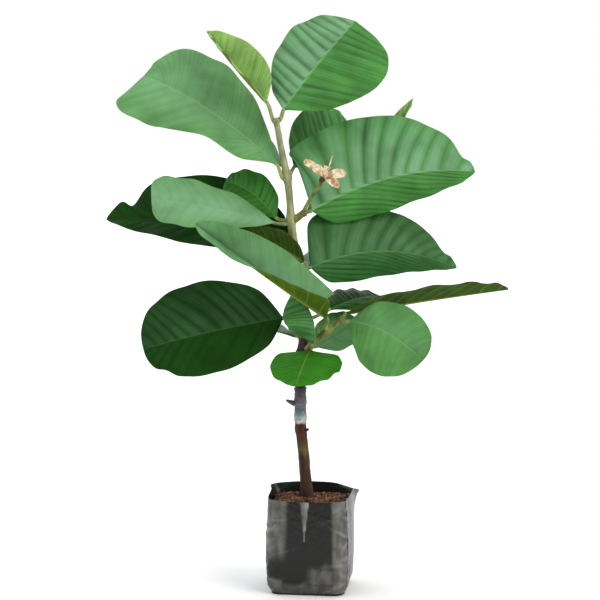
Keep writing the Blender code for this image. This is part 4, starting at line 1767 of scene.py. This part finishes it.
    def painted_reflections(self, wall: Array, creases: Array, pleat: Array) -> Array:
        """Work out the painted reflections: pale patches, and painted highlights on the raised creases and
        along the pleat.

        Args:
            wall: the smooth wall, rings by points by three.
            creases: how far its creases push it out, in metres.
            pleat: how far its pleat pushes it out, in metres.

        Returns:
            One value from 0 to 1 for each point.
        """
        share = (np.arange(self.around) / self.around - self.front_at)[None]
        pale = np.zeros(wall.shape[:2])
        for patch in self.patches:
            off = np.abs((share - patch.around + 0.5) % 1 - 0.5)
            across = 1 - smooth(off, patch.half_width * 0.6, patch.half_width * 1.1)
            rise = np.abs(wall[..., 2] / MM - patch.height)
            down = 1 - smooth(rise, patch.half_height * 0.6, patch.half_height * 1.2)
            pale = np.maximum(pale, patch.strength * across * down)
        streaks = 0.75 + 0.5 * fractal(wall * np.array((1, 1, 0.2)), 5 * MM, 2, 3.0)
        # Painted highlights on the raised creases and along the pleat
        crease_highlights = np.clip(creases / (0.5 * MM), 0, 1) * 0.35
        return np.clip(pale * streaks + crease_highlights + 0.8 * np.clip(pleat / (0.5 * MM), 0, 1), 0, 1)

    def facets(self, wall: Array) -> Array:
        """Work out how each wall bows out in its middle third.

        Args:
            wall: the smooth wall, rings by points by three.

        Returns:
            How far it stands out at each point, in metres.
        """
        share = np.arange(self.around) / self.around * 4
        middle = np.abs((share + 0.07) % 1 - 0.5) * 2
        rise = smooth(wall[..., 2], 4 * MM, 20 * MM)
        return self.bow * (1 - smooth(middle, 0.3, 0.95))[None] * rise

    def build(self) -> bpy.types.Object:
        """Build the film, outside and inside, and settle it on its solid.

        Returns:
            The bag's piece.
        """
        heights = self.rim * np.linspace(0, 1, self.levels) ** 0.9
        outer = np.array([self.ring(h) for h in heights])
        outward = unit(outer * np.array((1.0, 1.0, 0.0)))
        standing = smooth(outer[..., 2], 0.3 * MM, 3 * MM)
        soft = fractal(outer * np.array((1, 1, 0.5)), self.sag_size, 2, 5.0) * self.sag
        crumple = -np.abs(fractal(outer, self.crumple_size, 3, 9.0)) * self.crumple
        diagonal = np.abs(np.abs(outer[..., 0]) - np.abs(outer[..., 1]))
        rough = 0.25 + 0.75 * np.exp(-((diagonal / self.corner) ** 2))
        creases, pleat = self.creases(outer), self.pleat(outer)
        pale = self.painted_reflections(outer, creases, pleat)
        push = (soft + crumple * rough + creases + pleat + self.facets(outer)) * standing
        outer = outer + outward * (push - 0.3 * MM)[..., None]
        inner = outer[2:] - outward[2:] * self.film
        floor = inner[:1] * np.array((1.0, 1.0, 0.0)) + np.array((0.0, 0.0, self.film))
        # The V places carry the painted reflections, and next to none on the inside
        inside = np.full(inner.shape[:2], 0.02)
        reflection_level = np.concatenate([pale, inside, inside[:1]])
        share = np.broadcast_to((np.arange(self.around) / self.around)[None], reflection_level.shape)
        draft = MeshDraft()
        draft.add_tube(np.concatenate([outer, inner[::-1], floor]), 0, np.stack([share, reflection_level], -1))
        return settle(draft.piece("grow_bag_film", [Film().material()], 50), "grow_bag")


@dataclass
class Soil:
    """The soil in the bag: a domed, crumbly top and the loose crumbs on it.

    wall is how far the soil keeps inside the bag's outside, and crumb_size the least and the
    greatest radius of a crumb.
    """

    bag: GrowBag
    edge: float = SOIL_EDGE
    crown: float = SOIL_CROWN
    wall: float = 1.2 * MM
    rough: float = 1.3 * MM
    rough_size: float = 7 * MM
    crumbs: int = 900
    crumb_size: Pair = (0.5 * MM, 1.7 * MM)
    pale_crumbs: float = 0.4

    def height_at(self, share: float) -> float:
        """Height of the smooth top at a share of the way out from the middle."""
        return self.edge + (self.crown - self.edge) * min(1.0, (1 - share) / 0.54)

    def build(self) -> bpy.types.Object:
        """Build the soil and its crumbs and settle them on the solid.

        Returns:
            The soil's piece.
        """
        edge = self.bag.ring(self.edge, self.wall)
        level, up = np.array((1, 1, 0)), np.array((0, 0, 1.0))
        rings = [
            self.bag.ring(h, self.wall + 0.3 * MM) * level + up * h
            for h in np.linspace(1.5 * MM, self.edge - 1 * MM, 12)
        ]
        for share in np.linspace(1.0, 0.03, 56):
            ring = edge * level * share + up * self.height_at(share)
            rough = fractal(ring, self.rough_size, 5, 2.0) * self.rough
            rings.append(ring + up * rough[:, None])
        draft = MeshDraft()
        draft.add_tube(np.array(rings))
        self.add_crumbs(draft, edge)
        skins = [CROWN_SKIN.material(), CLOD_SKIN.material()]
        return settle(draft.piece("soil_fill", skins), "soil")

    def add_crumbs(self, draft: MeshDraft, edge: Array) -> None:
        """Scatter the crumbs over the top.

        Args:
            draft: the soil's draft, which takes them.
            edge: the ring where the top meets the bag.
        """
        draw = np.random.default_rng(8)
        points, faces = self.crumb_shape()
        for _ in range(self.crumbs):
            share, k = sqrt(draw.uniform(0.01, 0.95)), draw.integers(0, len(edge))
            size = draw.uniform(*self.crumb_size)
            height = self.height_at(share) + 0.2 * size
            at = edge[k] * np.array((share, share, 0)) + np.array((0, 0, height))
            turn = np.array(Matrix.Rotation(draw.uniform(0, 6), 3, Vector(draw.normal(size=3))))
            shape = points * draw.uniform(0.6, 1.3, 3) * size
            shape = shape * (1 + 0.25 * draw.normal(size=(len(points), 1)))
            draft.add_faces(shape @ turn + at, faces, int(draw.random() < self.pale_crumbs))

    def crumb_shape(self) -> tuple[Array, list[tuple[int, ...]]]:
        """Work out a small rounded crumb with twenty faces.

        Returns:
            Its points, one unit from its middle, and its faces.
        """
        golden = (1 + sqrt(5)) / 2
        points = np.array([(s, t * golden, 0.0) for s in (-1, 1) for t in (-1, 1)])
        points = unit(np.concatenate([np.roll(points, k, axis=1) for k in range(3)]))
        near = np.linalg.norm(points[0] - points, axis=1)
        reach = sorted(near)[1] * 1.05
        faces = []
        for a, b, c in combinations(range(12), 3):
            trio = points[[a, b, c]]
            gaps = np.linalg.norm(trio - np.roll(trio, 1, axis=0), axis=1)
            if gaps.max() < reach:
                facing = np.cross(trio[1] - trio[0], trio[2] - trio[0]) @ trio.sum(axis=0)
                faces.append((a, b, c) if facing > 0 else (a, c, b))
        return points, faces


class Lamp(NamedTuple):
    """A softbox: its name, the way to it from the tree, its width in degrees, power and colour."""

    name: str
    way: Triple
    spread: float
    power: float
    colour: str


@dataclass
class Studio:
    """A pale floor, soft lamps and the camera at the photograph's angle.

    span is the width that the picture takes in at the tree, and sensor the camera's, in mm.
    """

    aim: Triple = (-0.00935, 0.0, 0.248)
    eye: Triple = (-0.00935, -1.5, 0.378)
    span: float = 0.510
    sensor: float = 36.0
    floor_radius: float = 40.0
    floor_sides: int = 48
    stipple_mm: float = 6.0
    lamps: tuple[Lamp, ...] = (
        Lamp("overhead_softbox", (-0.1, 0.35, 1.0), 75, 1.75, "#e6efff"),
        Lamp("right_softbox", (0.9, -0.8, 0.75), 40, 1.5, "#fffaf2"),
        Lamp("left_softbox", (-1.0, -0.7, 0.35), 50, 0.35, "#ffffff"),
    )

    def build(self) -> None:
        """Build the floor, the sky, the lamps and the camera."""
        self.add_floor()
        self.add_sky()
        for lamp in self.lamps:
            self.add_lamp(lamp)
        self.add_camera()

    def add_floor(self) -> None:
        """Add a plain board floor, wide enough for every view."""
        mesh = bpy.data.meshes.new("floor")
        ring = level_circle(round_angles(self.floor_sides)) * self.floor_radius
        mesh.from_pydata(ring.tolist(), [], [tuple(range(self.floor_sides))])
        floor = bpy.data.objects.new("floor", mesh)
        bpy.context.scene.collection.objects.link(floor)
        # Matt white paint, rolled on: nearly white, with no gleam to speak of
        material = bpy.data.materials.new("painted board, matt")
        material.use_nodes = True
        tree = material.node_tree
        where = add_node(tree, "TexCoord")
        # Roller stipple is a millimetre across. It is drawn at 6 mm, so that it shows and doesn't glitter
        stipple = add_node(
            tree,
            "TexNoise",
            {"Scale": per_metre(self.stipple_mm), "Detail": 2.0},
            {"Vector": where.outputs["Object"]},
        )
        tint = add_node(
            tree,
            "MixRGB",
            {"Color1": linear("#f0efec"), "Color2": linear("#f2f1ee")},
            {"Fac": stipple.outputs[0]},
        )
        shader = tree.nodes["Principled BSDF"]
        shader.inputs["Roughness"].default_value = 0.9
        shader.inputs["Specular IOR Level"].default_value = 0.1
        tree.links.new(shader.inputs["Base Color"], tint.outputs[0])
        mesh.materials.append(material)

    def add_sky(self) -> None:
        """Add a white surround that is dimmer on the side of the camera, as in a studio's open front."""
        world = bpy.data.worlds.new("studio")
        world.use_nodes = True
        tree = world.node_tree
        where = add_node(tree, "TexCoord")
        back = add_node(
            tree,
            "VectorMath",
            {"operation": "DOT_PRODUCT", 1: (0.0, 1.0, 0.0)},
            {0: where.outputs["Generated"]},
        )
        level = add_node(
            tree,
            "MapRange",
            {1: -0.85, 2: -0.25, 3: 0.35, 4: 1.0, "interpolation_type": "SMOOTHSTEP"},
            {0: back.outputs["Value"]},
        )
        sky = tree.nodes["Background"]
        sky.inputs["Color"].default_value = linear("#ffffff")
        tree.links.new(sky.inputs["Strength"], level.outputs[0])
        bpy.context.scene.world = world

    def add_lamp(self, lamp: Lamp) -> None:
        """Add a softbox so far away that it lights the floor evenly.

        Args:
            lamp: the softbox.
        """
        light = bpy.data.lights.new(lamp.name, "SUN")
        light.angle = radians(lamp.spread)
        light.energy = lamp.power
        light.color = linear(lamp.colour)[:3]
        holder = bpy.data.objects.new(lamp.name, light)
        holder.rotation_mode = "QUATERNION"
        holder.rotation_quaternion = (-Vector(lamp.way)).to_track_quat("-Z", "Y")
        bpy.context.scene.collection.objects.link(holder)

    def add_camera(self) -> None:
        """Add the camera, square on to the tree and a little above it."""
        lens = bpy.data.cameras.new("camera")
        way = Vector(self.aim) - Vector(self.eye)
        lens.sensor_width = self.sensor
        lens.lens = self.sensor * way.length / self.span
        camera = bpy.data.objects.new("camera", lens)
        camera.location = self.eye
        camera.rotation_mode = "QUATERNION"
        camera.rotation_quaternion = way.to_track_quat("-Z", "Y")
        bpy.context.scene.collection.objects.link(camera)
        bpy.context.scene.camera = camera
        bpy.context.scene.view_settings.view_transform = "Standard"


# The limbs, with the points of their axes and their radii as in the solids
LIMBS = (
    Trunk(
        "trunk",
        ((-3, 0, 78.3), (-4, 0, 90), (-5, 0, 100), (-6, 0, 114), (-8, 0, 133),
         (-9, 0, 145), (-9, 0, 158), (-9, 0, 173), (-8, 0, 192), (-7, 0, 206)),
        (6.2, 5.0, 4.9, 4.8, 4.7, 4.6, 4.5, 4.5, 4.5, 5.2),
        BARK_SKIN, Slot.BARK, sides=48, step=0.9, relief=0.3, tucked=(2.5, 0.0),
    ),
    Limb(
        "main_stem",
        ((-7, 0, 206.3), (-5, 1, 222), (-8, 2, 248), (-13, 2, 280), (-15.5, 1, 303), (-17, 0, 316),
         (-18, 0, 333), (-20, 0, 351), (-25, 0, 375), (-28, 0, 392), (-30, 0, 402)),
        (4.6, 4.2, 3.9, 3.6, 3.4, 3.5, 2.8, 3.2, 2.5, 2.3, 2.6),
        STEM_SKIN, Slot.STEM, tucked=(1.5, 0.0),
    ),
    Limb(
        "bearing_twig",
        ((-12.0, -0.7, 317.6), (-9, -1.5, 320), (-5, -2.5, 322.5)),
        (3.0, 2.8, 2.6),
        BRANCH_SKIN, Slot.STEM, tucked=(4.0, 0.0), step=0.8,
    ),
    Limb(
        "low_branch",
        ((-2.6, -5.4, 207.5), (1, -8, 211.5), (14, -10, 223), (21, -10, 228.5), (27, -10, 234)),
        (2.6, 2.6, 2.7, 2.1, 1.9),
        BRANCH_SKIN, Slot.STEM, tucked=(4.0, 0.5),
    ),
    Limb(
        "flower_stalk",
        ((-6.1, -5.0, 324.1), (-1.4, -9.3, 333), (4, -12, 341), (8, -14, 347)),
        (1.5, 1.5, 1.4, 1.6),
        BRANCH_SKIN, Slot.STEM, tucked=(2.5, 1.0), step=0.8,
    ),
    Limb(
        "pruned_stub",
        ((-15.5, -1.0, 160.0), (-18, -1.5, 161), (-21, -2, 162.5)),
        (2.2, 1.7, 0.9),
        STUB_SKIN, Slot.BARK, tucked=(3.0, 0.0), step=0.5, relief=0.3,
    ),
)

# The leaves from the top down, and then those behind
LEAVES = (
    Leaf(
        "leaf_top_right", "main_stem", 0.97, (-23, 0, 409), (39, 60, 487), 100,
        roll=34, bow=(0, 0, 3), fold=-8, curl=10, lean=-0.06, foot=0.68, nose=0.36, tone=Tone.MIDDLE,
        painted_sheen=(0.75, 0.1), quilt=(0.9, 1.0),
    ),
    Leaf(
        "leaf_top_left", "main_stem", 0.97, (-38, 8, 416), (-90, 45, 477), 48,
        roll=-18, bow=(0, 0, -2), fold=50, curl=10, nose=0.75, tone=Tone.YOUNG, painted_sheen=(0.1, 0.1),
    ),
    Leaf(
        "leaf_left_big", "main_stem", 0.70, (-29, -2, 363), (-141, 50, 438), 98,
        roll=-40, bow=(0, 0, 7), lean=-0.02, foot=0.95, nose=0.34, heel=0.05, notch=0.1,
        dents=(
            Dent(Half.LEFT, 0.42, 0.3, 0.16),
            Dent(Half.LEFT, 0.9, -0.12, 0.12),
            Dent(Half.RIGHT, 0.97, 0.5, 0.05),
        ),
        tone=Tone.SHEEN_PAINTED, painted_sheen=(0.4, 0.4), quilt=(0.35, 0.35),
    ),
    Leaf(
        "leaf_right_back", "main_stem", 0.70, (-14, 22, 361), (38, 96, 394), 64,
        roll=58, bow=(0, 0, 6), painted_sheen=(0.1, 0.05), quilt=(1.0, 0.8),
    ),
    Leaf(
        "leaf_right_big", "bearing_twig", 1.0, (1, -2, 324), (142, 35, 356), 90,
        roll=88, bow=(0, 0, 12), fold=-14, curl=14, lean=0.34, foot=0.42, nose=0.68, heel=0.15,
        dents=(Dent(Half.LEFT, 0.93, 0.35, 0.05),), painted_sheen=(0.8, 0.15), quilt=(1.4, 0.6),
        sweep=(0.0, 0.35),
    ),
    Leaf(
        "leaf_left_mid", "main_stem", 0.48, (-32, -4, 314), (-133, -25, 334), 57,
        roll=-44, bow=(0, 0, 3), foot=0.7, nose=0.2, tone=Tone.SHEEN_PAINTED, painted_sheen=(0.8, 0.75),
        quilt=(0.25, 0.25),
    ),
    Leaf(
        "leaf_left_back", "main_stem", 0.50, (-30, 6, 318), (-74, 30, 347), 38,
        roll=-50, bow=(0, 0, 7), tone=Tone.MIDDLE, painted_sheen=(0.0, 0.1),
    ),
    Leaf(
        "leaf_far_left", "main_stem", 0.37, (-16, 12, 291), (-180, 62, 314), 66,
        roll=-62, bow=(0, 0, 8), fold=20, lean=-0.36, nose=0.75,
        dents=(Dent(Half.RIGHT, 0.865, 0.48, 0.04),), tone=Tone.DEEP_SHADED, painted_sheen=(0.0, 0.0),
    ),
    Leaf(
        "leaf_right_mid", "main_stem", 0.29, (0, -3, 276), (128, 48, 272), 66,
        roll=85, bow=(0, 0, 14), fold=-8, curl=12, lean=0.28, foot=0.36, nose=0.8, heel=0.07,
        dents=(Dent(Half.LEFT, 0.9, 0.35, 0.05),), tone=Tone.DARK, painted_sheen=(0.25, 0.15), quilt=(1.4, 0.7),
        sweep=(0.0, 0.4),
    ),
    Leaf(
        "leaf_left_under", "main_stem", 0.26, (-6, -9, 281), (-57, 1, 302), 30,
        roll=68, bow=(0, 0, 4), foot=0.45, painted_sheen=(0.0, 0.0),
    ),
    Leaf(
        "leaf_front_arch", "low_branch", 0.50, (13, -17, 235), (-95, -50, 315), 54,
        roll=-12, bow=(0, 0, -2), twist=-71, fold=53, curl=10, foot=0.36, heel=0.1, far_heel=0.2,
        tone=Tone.SHEEN_PAINTED, painted_sheen=(0.8, 0.85), quilt=(0.25, 0.25),
    ),
    Leaf(
        "leaf_low_left", "main_stem", 0.10, (-24, -4, 233), (-142, -10, 207), 86,
        roll=-60, bow=(0, 0, 2), lean=-0.1, foot=0.55, nose=0.42,
        dents=(Dent(Half.LEFT, 0.88, 0.12, 0.05),), tone=Tone.DEEP_SHADED, painted_sheen=(0.0, 0.12), sweep=(0.1, 0.1),
    ),
    Leaf(
        "leaf_centre_small", "low_branch", 0.28, (2, -21, 212), (-14, -12, 257), 40,
        roll=69, bow=(7, 0, 1), twist=-95, fold=-44, lean=0.35, painted_sheen=(0.35, 0.3),
    ),
    Leaf(
        "leaf_low_mid_back", "trunk", 0.97, (3, 7, 208), (40, 24, 229), 36,
        roll=50, bow=(0, 0, 0), tone=Tone.SHEEN_PAINTED, painted_sheen=(0.3, 0.6),
    ),
    Leaf(
        "leaf_low_right", "low_branch", 0.93, (33, -13, 231), (91, -66, 204), 62,
        roll=64, bow=(0, 0, 7), lean=-0.12, foot=0.65, nose=0.42, tone=Tone.SHEEN_PAINTED, painted_sheen=(0.3, 0.15),
        quilt=(0.4, 0.4),
    ),
    Leaf(
        "leaf_right_edge", "low_branch", 1.0, (30, -9, 238), (166, -14, 258), 46,
        roll=-8, bow=(0, 0, 1), fold=30, curl=10, painted_sheen=(0.1, 0.1),
    ),
    Leaf(
        "leaf_back_dark", "main_stem", 0.14, (16, 12, 239), (62, 70, 246), 44,
        roll=14, bow=(0, 0, 3), tone=Tone.DARK, painted_sheen=(0.0, 0.0),
    ),
    Leaf(
        "leaf_front_low", "trunk", 0.97, (-1, -12, 206), (-13, -72, 184), 60,
        roll=-2, bow=(0, 0, 2), fold=0, curl=-5, lean=0.1, foot=0.5, tone=Tone.BRIGHT,
        painted_sheen=(0.05, 0.05), quilt=(0.3, 0.3), sweep=(0.1, 0.1),
    ),
    Leaf(
        "leaf_rear_upper", "main_stem", 0.72, (-22, 12, 360), (-105, 115, 405), 62,
        bow=(0, 0, 8), foot=1.2,
    ),
    Leaf(
        "leaf_rear_right", "main_stem", 0.52, (-4, 12, 322), (90, 66, 420), 30,
        roll=20, bow=(8, 0, -7), fold=45, nose=0.8, tone=Tone.YOUNG,
    ),
    Leaf(
        "leaf_rear_mid_left", "main_stem", 0.27, (-17, 13, 280), (-84, 122, 300), 66,
        bow=(0, 0, 8),
    ),
    Leaf(
        "leaf_rear_mid_right", "main_stem", 0.27, (-3, 13, 276), (82, 120, 290), 66,
        bow=(0, 0, 8),
    ),
    Leaf(
        "leaf_rear_low_left", "main_stem", 0.05, (-12, 11, 216), (-96, 108, 205), 64,
        bow=(0, 0, 8), foot=1.2,
    ),
    Leaf(
        "leaf_rear_low_right", "trunk", 0.95, (0, 14, 206), (77, 105, 190), 62,
        bow=(0, 0, 7),
    ),
)


def report(piece: bpy.types.Object) -> None:
    """Log a piece that is built."""
    LOG.info("%s, %d faces", piece.name, len(piece.data.polygons))


def main() -> None:
    """Build the studio, the bag and its soil, the limbs, the leaves and the flower, in that order."""
    logging.basicConfig(level=logging.INFO, format="%(message)s")
    Studio().build()
    bag = GrowBag()
    report(bag.build())
    report(Soil(bag).build())
    limbs = {limb.name: limb for limb in LIMBS}
    for leaf in LEAVES:
        limbs[leaf.limb].swellings.append(leaf.share)
    for limb in LIMBS:
        report(limb.build())
    report(GraftWrap(limbs["trunk"]).build())
    for leaf in LEAVES:
        report(leaf.build(limbs))
    report(DriedFlower().build())
    LOG.info("%d solids are dressed", len(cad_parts))


if __name__ == "__main__":
    main()
